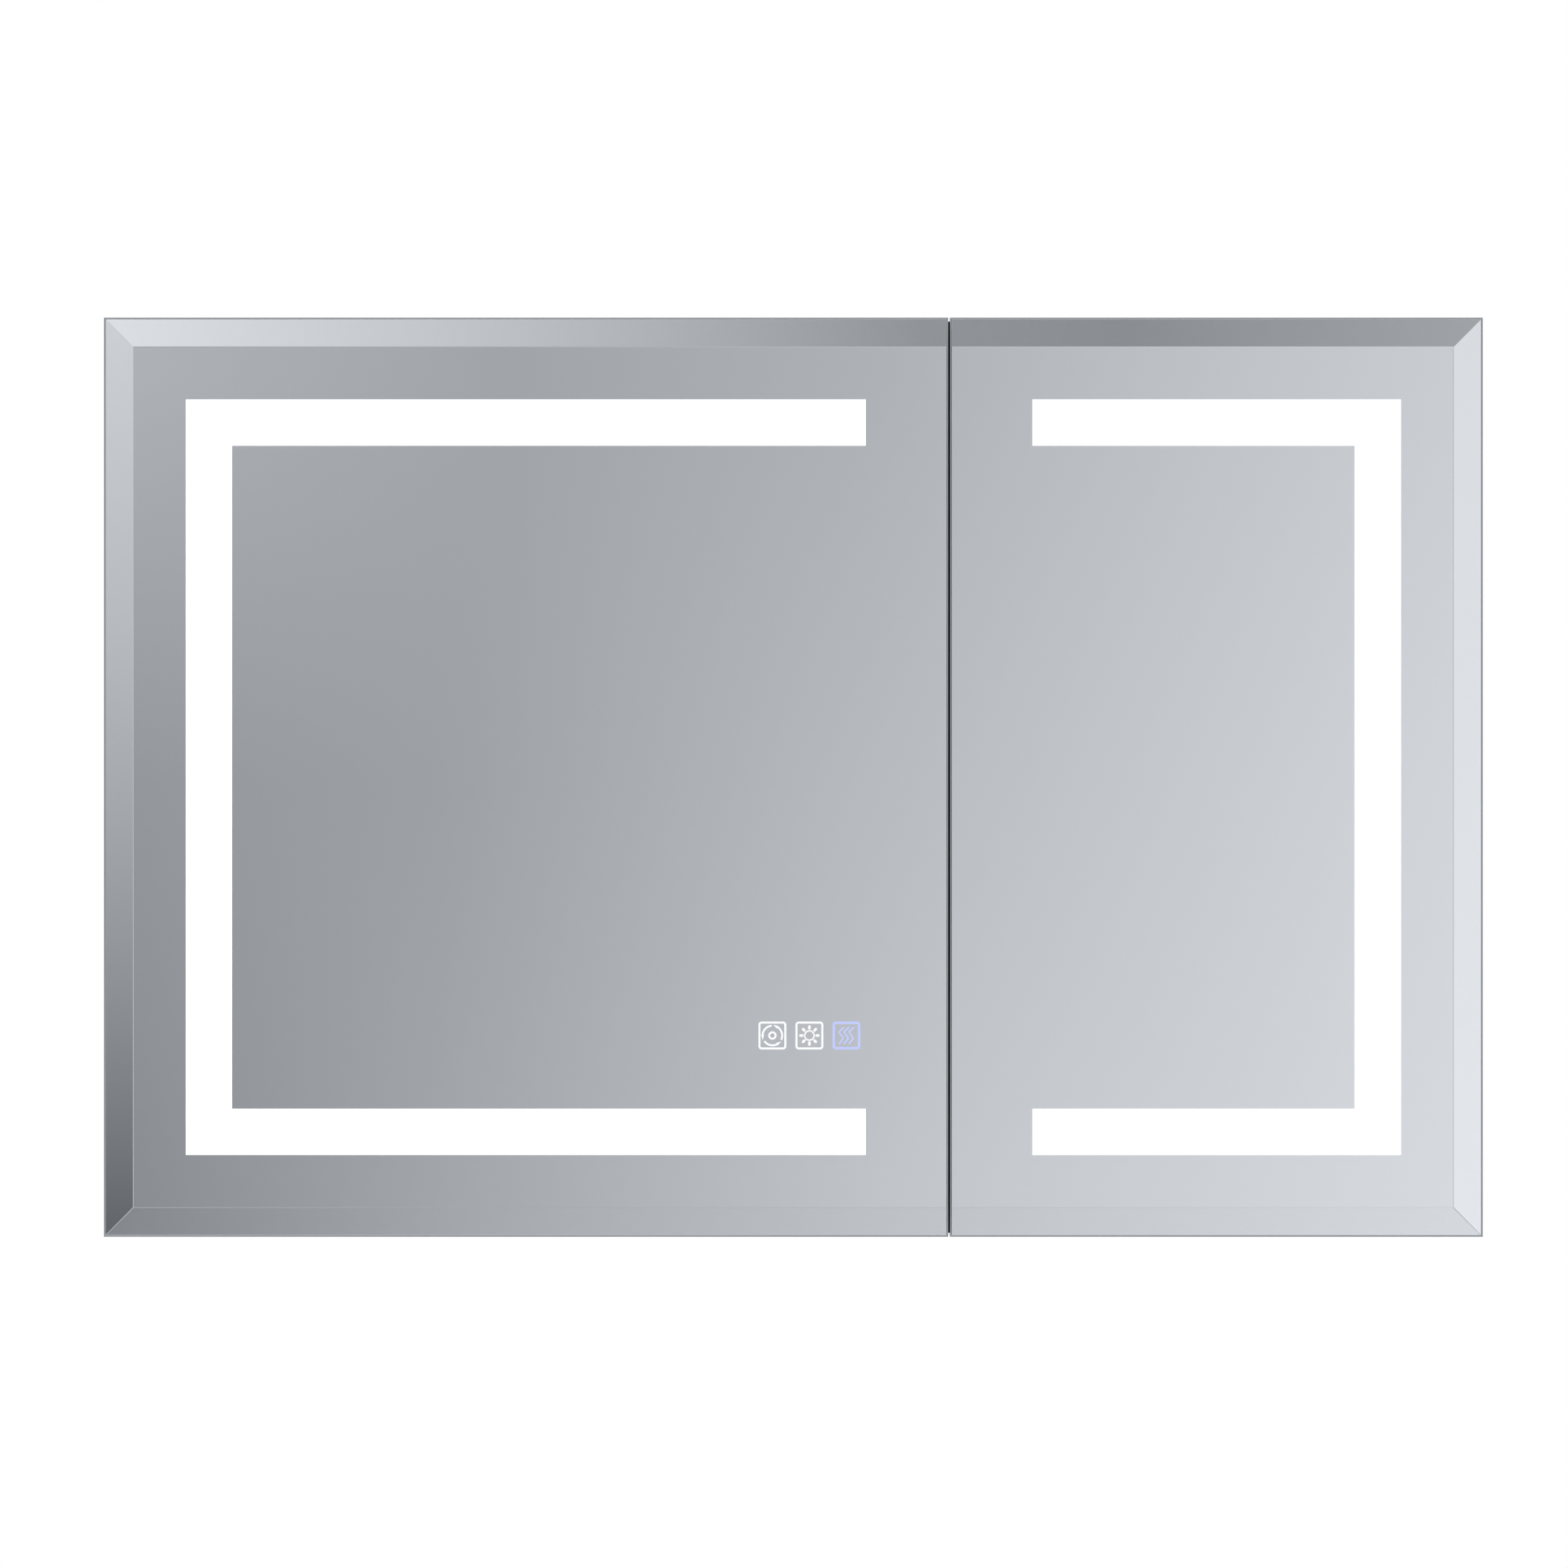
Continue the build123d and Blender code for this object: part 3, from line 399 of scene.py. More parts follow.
def make_gland():
    """The cable inlet: a threaded sleeve, a locknut, a hexagon body and a seal."""
    node = "cable_gland"
    low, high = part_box(node)
    x, z = (low.x + high.x) / 2, (low.z + high.z) / 2
    corner_radius = (high.x - low.x) / 2
    sleeve_radius, sleeve_wall = 8 * MM, 2.95 * MM
    length = high.y - low.y
    sleeve = add_rod("gland_sleeve", (x, low.y + length / 2, z), sleeve_radius, length, "Y", 64)
    bore_through(sleeve, sleeve_wall)
    round_edges(sleeve, 0.35 * MM, segments=3)
    pieces = [sleeve]
    nuts = (("locknut", high.y - 6 * MM, 5 * MM), ("hexagon_body", low.y + 0.2 * MM, 8.8 * MM))
    for name, start, thick in nuts:
        nut = add_rod(name, (x, start + thick / 2, z), corner_radius, thick, "Y", 6)
        bore_through(nut, 2.6 * MM)
        round_edges(nut, 0.8 * MM, segments=4)
        pieces.append(nut)
    stands_for(joined(pieces, "inlet_gland"), node)
    seal_radius, seal_half, seal_depth = 5.7 * MM, 0.65 * MM, 1.6 * MM
    deselect()
    bpy.ops.mesh.primitive_torus_add(
        location=(x, high.y - seal_depth, z),
        rotation=(math.pi / 2, 0, 0),
        major_radius=seal_radius,
        minor_radius=seal_half,
        major_segments=64,
        minor_segments=16,
    )
    seal = settle(bpy.context.object, "gland_seal")
    bpy.ops.object.shade_smooth()
    goes_with(seal, node, "bumper_rubber")


for each in SIDES:
    make_mirror_pane(each)
    make_shelves(each)
make_box_cover()
screw_pattern = make_screw_pattern(SCREW_RADIUS, SCREW_HEIGHT)
make_cover_screws(screw_pattern)
make_catches(screw_pattern)
scrap(screw_pattern)
make_gland()


# -------------------------------------------------------------------- shading
def linear(red, green, blue):
    """A colour of 0 to 255 in sRGB, no part of it under 11, in linear light."""
    return tuple(((c / 255 + 0.055) / 1.055) ** 2.4 for c in (red, green, blue))


def shaded(colour, share):
    """A colour made darker by a share under 1, or lighter, up to white, by a larger one."""
    return tuple(min(1, c * share) for c in colour)


class Tree:
    """Short ways to lay and link the nodes of one node tree."""

    def __init__(self, tree):
        self.tree = tree

    def add(self, kind, inputs=None, **settings):
        made = self.tree.nodes.new(kind)
        for name, value in settings.items():
            setattr(made, name, value)
        for name, value in (inputs or {}).items():
            self.feed(made.inputs[name], value)
        return made

    def feed(self, socket, value):
        """Links an output to a socket, or sets the socket's own value."""
        if isinstance(value, bpy.types.NodeSocket):
            self.tree.links.new(value, socket)
        elif isinstance(value, tuple) and len(value) == 3 and socket.type == "RGBA":
            socket.default_value = (*value, 1)
        else:
            socket.default_value = value

    def maths(self, operation, first, second=0.5, clamp=False):
        made = self.add("ShaderNodeMath", {0: first, 1: second}, operation=operation, use_clamp=clamp)
        return made.outputs[0]

    def noise(self, place, scale, detail, roughness=0.5):
        inputs = {"Vector": place, "Scale": scale, "Detail": detail, "Roughness": roughness}
        return self.add("ShaderNodeTexNoise", inputs).outputs["Fac"]

    def object_place(self):
        return self.add("ShaderNodeTexCoord").outputs["Object"]

    def facing(self, axis):
        """How far the surface looks along an axis of its own object, either way."""
        normal = self.add("ShaderNodeTexCoord").outputs["Normal"]
        return self.maths("ABSOLUTE", self.add("ShaderNodeSeparateXYZ", {0: normal}).outputs[axis])

    def between(self, value, low, high, to_low=0.0, to_high=1.0, smooth=True):
        """Maps a value from one range to another, clamped."""
        kind = "SMOOTHSTEP" if smooth else "LINEAR"
        made = self.add(
            "ShaderNodeMapRange",
            {"Value": value, "From Min": low, "From Max": high, "To Min": to_low, "To Max": to_high},
            interpolation_type=kind,
        )
        return made.outputs["Result"]

    def blend(self, share, first, second):
        made = self.add("ShaderNodeMix", data_type="RGBA")
        self.feed(made.inputs[0], share)
        self.feed(made.inputs[6], first)
        self.feed(made.inputs[7], second)
        return made.outputs[2]

    def ramp(self, value, stops):
        """A colour ramp through (place, linear colour) stops."""
        made = self.add("ShaderNodeValToRGB", {"Fac": value})
        while len(made.color_ramp.elements) < len(stops):
            made.color_ramp.elements.new(0.5)
        for element, (place, colour) in zip(made.color_ramp.elements, stops):
            element.position = place
            element.color = (*colour, 1)
        return made.outputs["Color"]

    def group(self, name, **inputs):
        made = self.add("ShaderNodeGroup")
        made.node_tree = bpy.data.node_groups[name]
        for socket, value in inputs.items():
            self.feed(made.inputs[socket.replace("_", " ")], value)
        return made.outputs


def new_group(name, inputs, outputs):
    """An empty shader group with named inputs and outputs."""
    group = bpy.data.node_groups.new(name, "ShaderNodeTree")
    for socket, kind, value in inputs:
        made = group.interface.new_socket(name=socket, in_out="INPUT", socket_type=f"NodeSocket{kind}")
        if value is not None:
            made.default_value = value
    for socket, kind in outputs:
        group.interface.new_socket(name=socket, in_out="OUTPUT", socket_type=f"NodeSocket{kind}")
    tree = Tree(group)
    start = tree.add("NodeGroupInput")
    end = tree.add("NodeGroupOutput")
    return tree, start.outputs, end.inputs


def build_grain_group():
    """Fine cast or moulded grain: a height and a slow change of shade."""
    tree, given, put = new_group(
        "fine_grain",
        [("Size", "Float", 900.0), ("Patch", "Float", 14.0)],
        [("Height", "Float"), ("Shade", "Float")],
    )
    place = tree.object_place()
    tree.feed(put["Height"], tree.noise(place, given["Size"], 3.0, 0.6))
    tree.feed(put["Shade"], tree.between(tree.noise(place, given["Patch"], 4.0, 0.55), 0.3, 0.7))


def build_lines_group():
    """Drawn lines of an extrusion or a brushed sheet, along one axis."""
    tree, given, put = new_group(
        "drawn_lines",
        [("Along", "Vector", (1.0, 1.0, 1.0)), ("Fineness", "Float", 1.0)],
        [("Lines", "Float"), ("Streaks", "Float")],
    )
    stretched = {0: tree.object_place(), 1: given["Along"]}
    place = tree.add("ShaderNodeVectorMath", stretched, operation="MULTIPLY").outputs[0]
    tree.feed(put["Lines"], tree.noise(place, tree.maths("MULTIPLY", given["Fineness"], 1500.0), 2.0))
    tree.feed(put["Streaks"], tree.between(tree.noise(place, 160.0, 3.0, 0.6), 0.3, 0.7))


def build_edge_group():
    """Marks the narrow rims of a piece, where a finish wears and where a painted highlight stands for the
    light that rims catch.
    """
    tree, given, put = new_group(
        "wear_and_highlight_edges",
        [("Reach", "Float", 0.0006), ("Breakup", "Float", 0.5)],
        [("Edge", "Float"), ("Normal", "Vector")],
    )
    soft = tree.add("ShaderNodeBevel", {"Radius": given["Reach"]}, samples=6).outputs["Normal"]
    flat = tree.add("ShaderNodeNewGeometry").outputs["True Normal"]
    turn = tree.add("ShaderNodeVectorMath", {0: soft, 1: flat}, operation="DOT_PRODUCT").outputs["Value"]
    rim = tree.between(turn, 0.995, 0.86)
    chips = tree.noise(tree.object_place(), 240.0, 3.0)
    uneven = tree.between(chips, 0.35, 0.65, tree.maths("SUBTRACT", 1.0, given["Breakup"]), 1.0)
    tree.feed(put["Edge"], tree.maths("MULTIPLY", rim, uneven, clamp=True))
    tree.feed(put["Normal"], soft)


def build_dust_group():
    """Thin dust and water haze in soft patches, more on faces that look up."""
    tree, given, put = new_group(
        "light_dust",
        [("Amount", "Float", 0.1)],
        [("Dust", "Float")],
    )
    patches = tree.noise(tree.object_place(), 9.0, 6.0, 0.65)
    normal = tree.add("ShaderNodeTexCoord").outputs["Normal"]
    upward = tree.add("ShaderNodeSeparateXYZ", {0: normal}).outputs["Z"]
    share = tree.between(upward, -0.2, 1.0, 0.35, 1.0)
    spots = tree.maths("MULTIPLY", tree.between(patches, 0.42, 0.72), share)
    tree.feed(put["Dust"], tree.maths("MULTIPLY", spots, given["Amount"], clamp=True))


for build in (build_grain_group, build_lines_group, build_edge_group, build_dust_group):
    build()


def new_material(name):
    """A material with its tree and its Principled shader."""
    material = bpy.data.materials.new(name)
    material.use_nodes = True
    tree = Tree(material.node_tree)
    shader = material.node_tree.nodes["Principled BSDF"]
    return material, tree, shader


def bump(tree, shader, height, strength, distance, normal=None):
    """Feeds the shader's normal from a height, over another normal where one is given."""
    inputs = {"Height": height, "Strength": strength, "Distance": distance}
    if normal is not None:
        inputs["Normal"] = normal
    made = tree.add("ShaderNodeBump", inputs)
    tree.feed(shader.inputs["Normal"], made.outputs["Normal"])


# The axis along which a finish was drawn: its small number stretches the lines.
DRAWN = {"X": (0.004, 1.0, 1.0), "Y": (1.0, 0.004, 1.0), "Z": (1.0, 1.0, 0.004)}


def satin_aluminium(name, colour, roughness, axis):
    """Anodised aluminium with drawn lines, painted brighter along its rims: wear and a painted highlight.
    """
    material, tree, shader = new_material(name)
    lines = tree.group("drawn_lines", Along=DRAWN[axis], Fineness=1.0)
    edges = tree.group("wear_and_highlight_edges", Reach=0.0004, Breakup=0.3)
    dust = tree.group("light_dust", Amount=0.10)
    shade = tree.blend(lines["Streaks"], shaded(colour, 0.975), colour)
    # Rims painted lighter: wear, and a painted highlight where the rims catch the light.
    shade = tree.blend(tree.maths("MULTIPLY", edges["Edge"], 0.35), shade, shaded(colour, 1.25))
    tree.feed(shader.inputs["Base Color"], tree.blend(dust["Dust"], shade, (0.70, 0.70, 0.69)))
    shader.inputs["Metallic"].default_value = 1.0
    rough = tree.between(lines["Lines"], 0.3, 0.7, roughness - 0.05, roughness + 0.07, smooth=False)
    dusty = tree.maths("MULTIPLY", dust["Dust"], 0.4)
    tree.feed(shader.inputs["Roughness"], tree.maths("ADD", rough, dusty))
    bump(tree, shader, lines["Lines"], 0.10, 0.00003, edges["Normal"])
    return material


def powder_coat(name, colour, roughness=0.48):
    """Powder-coated sheet: fine orange peel, a little dust, and rims painted lighter for wear and as a
    painted highlight.
    """
    material, tree, shader = new_material(name)
    grain = tree.group("fine_grain", Size=1300.0, Patch=10.0)
    edges = tree.group("wear_and_highlight_edges", Reach=0.0004, Breakup=0.5)
    dust = tree.group("light_dust", Amount=0.14)
    shade = tree.blend(grain["Shade"], shaded(colour, 0.96), colour)
    # Rims painted lighter: wear, and a painted highlight where the rims catch the light.
    shade = tree.blend(tree.maths("MULTIPLY", edges["Edge"], 0.25), shade, shaded(colour, 1.12))
    tree.feed(shader.inputs["Base Color"], tree.blend(dust["Dust"], shade, (0.62, 0.61, 0.59)))
    rough = tree.between(grain["Height"], 0.3, 0.7, roughness - 0.06, roughness + 0.08)
    tree.feed(shader.inputs["Roughness"], rough)
    bump(tree, shader, grain["Height"], 0.16, 0.00006, edges["Normal"])
    return material


def plated_steel(name, colour, roughness, axis="X", spangle=0.0):
    """Plated steel with faint rolling marks and rims painted brighter, for wear and as a painted
    highlight; hot zinc has frosty spangles.
    """
    material, tree, shader = new_material(name)
    grain = tree.group("fine_grain", Size=500.0, Patch=60.0)
    edges = tree.group("wear_and_highlight_edges", Reach=0.0005, Breakup=0.4)
    lines = tree.group("drawn_lines", Along=DRAWN[axis], Fineness=1.2)
    shade = tree.blend(grain["Shade"], shaded(colour, 0.93), colour)
    if spangle:
        inputs = {"Vector": tree.object_place(), "Scale": 150.0}
        flakes = tree.add("ShaderNodeTexVoronoi", inputs).outputs["Color"]
        lightness = tree.add("ShaderNodeSeparateXYZ", {0: flakes}).outputs["X"]
        frost = tree.between(lightness, 0.1, 0.9, 0.0, spangle, smooth=False)
        shade = tree.blend(frost, shade, shaded(colour, 0.72))
    # Rims painted lighter: wear, and a painted highlight where the rims catch the light.
    shade = tree.blend(tree.maths("MULTIPLY", edges["Edge"], 0.5), shade, shaded(colour, 1.3))
    tree.feed(shader.inputs["Base Color"], shade)
    shader.inputs["Metallic"].default_value = 1.0
    rough = tree.between(lines["Lines"], 0.3, 0.7, roughness - 0.03, roughness + 0.05)
    tree.feed(shader.inputs["Roughness"], rough)
    bump(tree, shader, lines["Lines"], 0.04, 0.00002, edges["Normal"])
    return material


def moulded_plastic(name, colour, roughness, grain_size=800.0, strength=0.2):
    """Moulded plastic: spark-eroded grain and soft rims, painted lighter for wear and as a painted
    highlight.
    """
    material, tree, shader = new_material(name)
    grain = tree.group("fine_grain", Size=grain_size, Patch=30.0)
    edges = tree.group("wear_and_highlight_edges", Reach=0.0007, Breakup=0.4)
    dust = tree.group("light_dust", Amount=0.12)
    # Rims painted lighter: rubbing wear, and a painted highlight where the rims catch the light.
    rubbed_and_highlit = tuple(min(1, c * 1.15 + 0.01) for c in colour)
    shade = tree.blend(grain["Shade"], shaded(colour, 0.94), colour)
    shade = tree.blend(tree.maths("MULTIPLY", edges["Edge"], 0.2), shade, rubbed_and_highlit)
    tree.feed(shader.inputs["Base Color"], tree.blend(dust["Dust"], shade, (0.55, 0.54, 0.52)))
    rough = tree.between(grain["Height"], 0.3, 0.7, roughness - 0.07, roughness + 0.07)
    tree.feed(shader.inputs["Roughness"], rough)
    bump(tree, shader, grain["Height"], strength, 0.00008, edges["Normal"])
    return material


def silver_coat(name, colour, roughness):
    """A mirror's silver coating, very slightly uneven in shade."""
    material, tree, shader = new_material(name)
    grain = tree.group("fine_grain", Size=120.0, Patch=3.0)
    shade = tree.blend(grain["Shade"], shaded(colour, 0.995), colour)
    tree.feed(shader.inputs["Base Color"], shade)
    shader.inputs["Metallic"].default_value = 1.0
    rough = tree.between(grain["Height"], 0.3, 0.7, roughness, roughness + 0.008)
    tree.feed(shader.inputs["Roughness"], rough)
    return material


def edged_mirror(name, colour):
    """Mirror glass seen from its face, with pale green polished edges."""
    material, tree, shader = new_material(name)
    grain = tree.group("fine_grain", Size=200.0, Patch=4.0)
    dust = tree.group("light_dust", Amount=0.05)
    face = tree.between(tree.facing("Y"), 0.6, 0.8)
    shade = tree.blend(grain["Shade"], shaded(colour, 0.99), colour)
    tree.feed(shader.inputs["Base Color"], tree.blend(face, (0.30, 0.48, 0.42), shade))
    tree.feed(shader.inputs["Metallic"], face)
    rough = tree.between(face, 0.0, 1.0, 0.22, 0.012, smooth=False)
    dusty = tree.maths("MULTIPLY", dust["Dust"], 0.3)
    tree.feed(shader.inputs["Roughness"], tree.maths("ADD", rough, dusty))
    return material


def clear_glass(name, face_colour, edge_colour, face_axis):
    """Clear float glass, greener where its cut edges look into the sheet."""
    material, tree, shader = new_material(name)
    face = tree.between(tree.facing(face_axis), 0.5, 0.9)
    tree.feed(shader.inputs["Base Color"], tree.blend(face, edge_colour, face_colour))
    smudge = tree.group("fine_grain", Size=60.0, Patch=7.0)
    tree.feed(shader.inputs["Roughness"], tree.between(smudge["Shade"], 0.0, 1.0, 0.0, 0.006))
    shader.inputs["IOR"].default_value = 1.5
    shader.inputs["Transmission Weight"].default_value = 1.0
    return material


def lit_opal(name, colour, strength, body=0.86):
    """Opal acrylic lit from behind: even, very slightly softer between the lamps."""
    material, tree, shader = new_material(name)
    grain = tree.group("fine_grain", Size=90.0, Patch=40.0)
    glow = tree.blend(grain["Shade"], shaded(colour, 0.985), colour)
    tree.feed(shader.inputs["Base Color"], tree.blend(grain["Shade"], (body * 0.97,) * 3, (body,) * 3))
    tree.feed(shader.inputs["Emission Color"], glow)
    shader.inputs["Emission Strength"].default_value = strength
    tree.feed(shader.inputs["Roughness"], tree.between(grain["Height"], 0.3, 0.7, 0.42, 0.5))
    return material


def circuit_board(name, mask_colour, metal_colour):
    """A circuit board: solder mask over tracks, with tinned pads."""
    material, tree, shader = new_material(name)
    place = tree.object_place()
    cells = tree.add(
        "ShaderNodeTexBrick",
        {"Vector": place, "Scale": 260.0, "Mortar Size": 0.03, "Mortar Smooth": 0.1},
    )
    cells.offset = 0.5
    tracks = tree.maths("SUBTRACT", 1.0, cells.outputs["Fac"])
    shade = tree.blend(tracks, shaded(mask_colour, 0.7), mask_colour)
    pads = tree.add("ShaderNodeTexVoronoi", {"Vector": place, "Scale": 170.0}).outputs["Distance"]
    tin = tree.between(pads, 0.16, 0.10)
    tree.feed(shader.inputs["Base Color"], tree.blend(tin, shade, metal_colour))
    tree.feed(shader.inputs["Metallic"], tin)
    tree.feed(shader.inputs["Roughness"], tree.between(tin, 0.0, 1.0, 0.38, 0.28, smooth=False))
    bump(tree, shader, tin, 0.2, 0.00005)
    return material


def heater_film(name):
    """Polyester film with a printed copper heating track, to and fro."""
    material, tree, shader = new_material(name)
    height = tree.add("ShaderNodeSeparateXYZ", {0: tree.object_place()}).outputs["Z"]
    wave = tree.maths("SINE", tree.maths("MULTIPLY", height, 420.0))
    track = tree.between(wave, 0.55, 0.7)
    tree.feed(shader.inputs["Base Color"], tree.blend(track, (0.72, 0.50, 0.26), (0.86, 0.42, 0.22)))
    tree.feed(shader.inputs["Metallic"], track)
    tree.feed(shader.inputs["Roughness"], tree.between(track, 0.0, 1.0, 0.3, 0.4))
    bump(tree, shader, track, 0.25, 0.00005)
    return material


def soft_rubber(name, colour):
    """Soft rubber with a dull, dusty skin."""
    material, tree, shader = new_material(name)
    grain = tree.group("fine_grain", Size=1600.0, Patch=80.0)
    dust = tree.group("light_dust", Amount=0.3)
    shade = tree.blend(grain["Shade"], shaded(colour, 0.8), colour)
    tree.feed(shader.inputs["Base Color"], tree.blend(dust["Dust"], shade, (0.4, 0.4, 0.39)))
    tree.feed(shader.inputs["Roughness"], tree.between(grain["Height"], 0.3, 0.7, 0.66, 0.82))
    bump(tree, shader, grain["Height"], 0.3, 0.00008)
    return material


WHITE = (1.0, 1.0, 1.0)
ICON_BLUE = linear(190, 201, 255)
BAND_GLOW = 1.25
ICON_GLOW = 1.02
ICON_BODY = 0.05  # an icon's own grey, under its light

# Each finish: what makes it, its slot, its colour in linear light, and the maker's own values.
FINISH_LIST = (
    (powder_coat, "back_sheet", (0.66, 0.67, 0.68)),
    (powder_coat, "tray_aluminium", (0.60, 0.61, 0.62), 0.42),
    # Near black: the strip behind the gap between the doors stands for the shade down in that gap,
    # painted shade.
    (moulded_plastic, "black_strip", (0.006, 0.006, 0.007), 0.75, 1200.0),
    (plated_steel, "zinc_steel", (0.56, 0.57, 0.585), 0.36, "X", 0.45),
    (plated_steel, "strike_steel", (0.50, 0.50, 0.51), 0.3, "Z"),
    (plated_steel, "pin_chrome", (0.72, 0.72, 0.74), 0.14, "Y"),
    (moulded_plastic, "key_nylon", (0.02, 0.02, 0.022), 0.55),
    (moulded_plastic, "gland_nylon", (0.018, 0.018, 0.02), 0.5, 900.0, 0.3),
    (moulded_plastic, "catch_plastic", (0.62, 0.63, 0.64), 0.42),
    (moulded_plastic, "box_plastic", (0.74, 0.74, 0.73), 0.46, 700.0, 0.3),
    (moulded_plastic, "driver_case", (0.66, 0.66, 0.64), 0.45),
    (soft_rubber, "bumper_rubber", (0.05, 0.05, 0.052)),
    (edged_mirror, "plain_mirror", (0.84, 0.86, 0.865)),
    (silver_coat, "silvering", (0.92, 0.925, 0.93), 0.004),
    (clear_glass, "mirror_glass", (0.990, 0.991, 0.989), (0.62, 0.86, 0.76), "Y"),
    (clear_glass, "shelf_glass", (0.95, 0.975, 0.962), (0.46, 0.80, 0.68), "Z"),
    (lit_opal, "opal_light", WHITE, BAND_GLOW),
    (lit_opal, "icon_white", WHITE, ICON_GLOW, ICON_BODY),
    (lit_opal, "icon_blue", ICON_BLUE, ICON_GLOW, ICON_BODY),
    (circuit_board, "led_board", (0.74, 0.74, 0.72), (0.72, 0.70, 0.62)),
    (circuit_board, "circuit_board", (0.015, 0.13, 0.05), (0.75, 0.74, 0.70)),
    (heater_film, "heater_film"),
)
FINISHES = {slot: make(slot, *values) for make, slot, *values in FINISH_LIST}


def by_axis(make, slot, colour, roughness, axes):
    """One finish for each axis that its lines can follow."""
    return {axis: make(f"{slot}_along_{axis.lower()}", colour, roughness, axis) for axis in axes}


DRAWN_FINISHES = {
    "body_aluminium": by_axis(satin_aluminium, "body_aluminium", (0.60, 0.61, 0.625), 0.34, "XZ"),
    "door_aluminium": by_axis(satin_aluminium, "door_aluminium", (0.48, 0.50, 0.52), 0.32, "XZ"),
    "hinge_steel": by_axis(plated_steel, "hinge_steel", (0.60, 0.60, 0.60), 0.27, "YZ"),
}


def long_axis(piece_name):
    """The axis along which a drawn or rolled piece was made."""
    if "hinge_arms" in piece_name:
        return "Y"
    if "top" in piece_name or "bottom" in piece_name:
        return "X"
    return "Z"


def finish_of(piece_name, slot):
    """The material of a slot; drawn lines follow the piece's long side."""
    if slot in DRAWN_FINISHES:
        return DRAWN_FINISHES[slot][long_axis(piece_name)]
    return FINISHES[slot]


for node_name, node_object in frame["nodes"].items():
    node_object.data.materials.clear()
    node_object.data.materials.append(finish_of(node_name, SLOT_OF[node_name]))
for piece in list(bpy.data.objects):
    if piece.type == "MESH" and "finish" in piece:
        piece.data.materials.clear()
        piece.data.materials.append(finish_of(piece.name, piece["finish"]))


# ------------------------------------------------------------ camera and light
LENS = 400.0
SENSOR = 36.0
VIEW_WIDTH = 1.0396  # what the view takes in at the front of the doors
CAMERA_X, CAMERA_Z = -0.0062, -0.0045
front_y = cad_box[0][1]


def add_camera():
    """A long lens, straight in front of the doors."""
    data = bpy.data.cameras.new("camera")
    data.lens = LENS
    data.sensor_width = SENSOR
    data.clip_end = 200
    camera = bpy.data.objects.new("camera", data)
    bpy.context.collection.objects.link(camera)
    distance = VIEW_WIDTH * LENS / SENSOR
    camera.location = (CAMERA_X, front_y - distance, CAMERA_Z)
    camera.rotation_euler = (math.pi / 2, 0, 0)
    bpy.context.scene.camera = camera
    bpy.context.scene.view_settings.view_transform = "Standard"


# The part of the room that the doors look at, as tangents of the angle from straight ahead.
SEEN_U = 0.0394  # by the flat glass, to either side
SEEN_V = 0.0262  # by the flat glass, up and down
WALL_U = (0.044, 0.058)  # where the side walls' grey fades in, seen by the side bevels
CEILING_V = (0.032, 0.050)  # the same up and down, seen by the other bevels
PATCH_U = 0.0960  # beyond these the plain room takes over
PATCH_V = 0.1080
PATCH_FADE = 2.2  # how far out, in those measures, it has done so
LOW_SHARE = 0.88  # how far down the low room's tones reach, of what is seen
HIGH_SHARE = 0.90  # and how far up the high room's
REFLECTED = 0.90  # share of the light that a pane gives back
BEVEL_REFLECTED = 0.845
BEVEL_HAZE = 0.032  # what a bevel's front surface adds


def cool(level):
    """A cool grey of a given lightness, 0 to 255 in sRGB, in linear light."""
    return linear(level - 3, level, level + 5)


def tone(level):
    """The light that a pane must be given to look this light."""
    return tuple(c / REFLECTED for c in cool(level))


def bevel_tone(level):
    """The same for a bevel, which also shows a little of the room at its side."""
    return tuple((c - BEVEL_HAZE) / BEVEL_REFLECTED for c in cool(level))


# The room that the mirrors show, in pairs of a place and a lightness. Places run from left to
# right, and from low to high on the two walls. The flat glass sees the first three, which are dim
# at the left and light at the right; the bevels see the rest.
HIGH_ROOM = ((0.0, 178), (0.3, 164), (0.55, 176), (1.0, 205))
EYE_ROOM = ((0.0, 150), (0.25, 160), (0.55, 185), (1.0, 213))
LOW_ROOM = ((0.0, 138), (0.3, 170), (0.6, 198), (1.0, 218))
OVERHEAD = ((0.0, 130), (0.3, 168), (0.6, 193), (1.0, 215))
UNDERFOOT = ((0.0, 223), (0.3, 190), (0.6, 145), (0.75, 138), (1.0, 160))
RIGHT_WALL = ((0.0, 98), (0.3, 148), (0.65, 185), (1.0, 208))
LEFT_WALL = ((0.0, 232), (0.5, 226), (1.0, 221))
# The rest of the room, from low to high, in linear light.
ROOM_TONES = (
    (0.0, (0.62, 0.63, 0.64)),
    (0.4, (0.50, 0.51, 0.53)),
    (0.7, (0.80, 0.81, 0.83)),
    (1.0, WHITE),
)


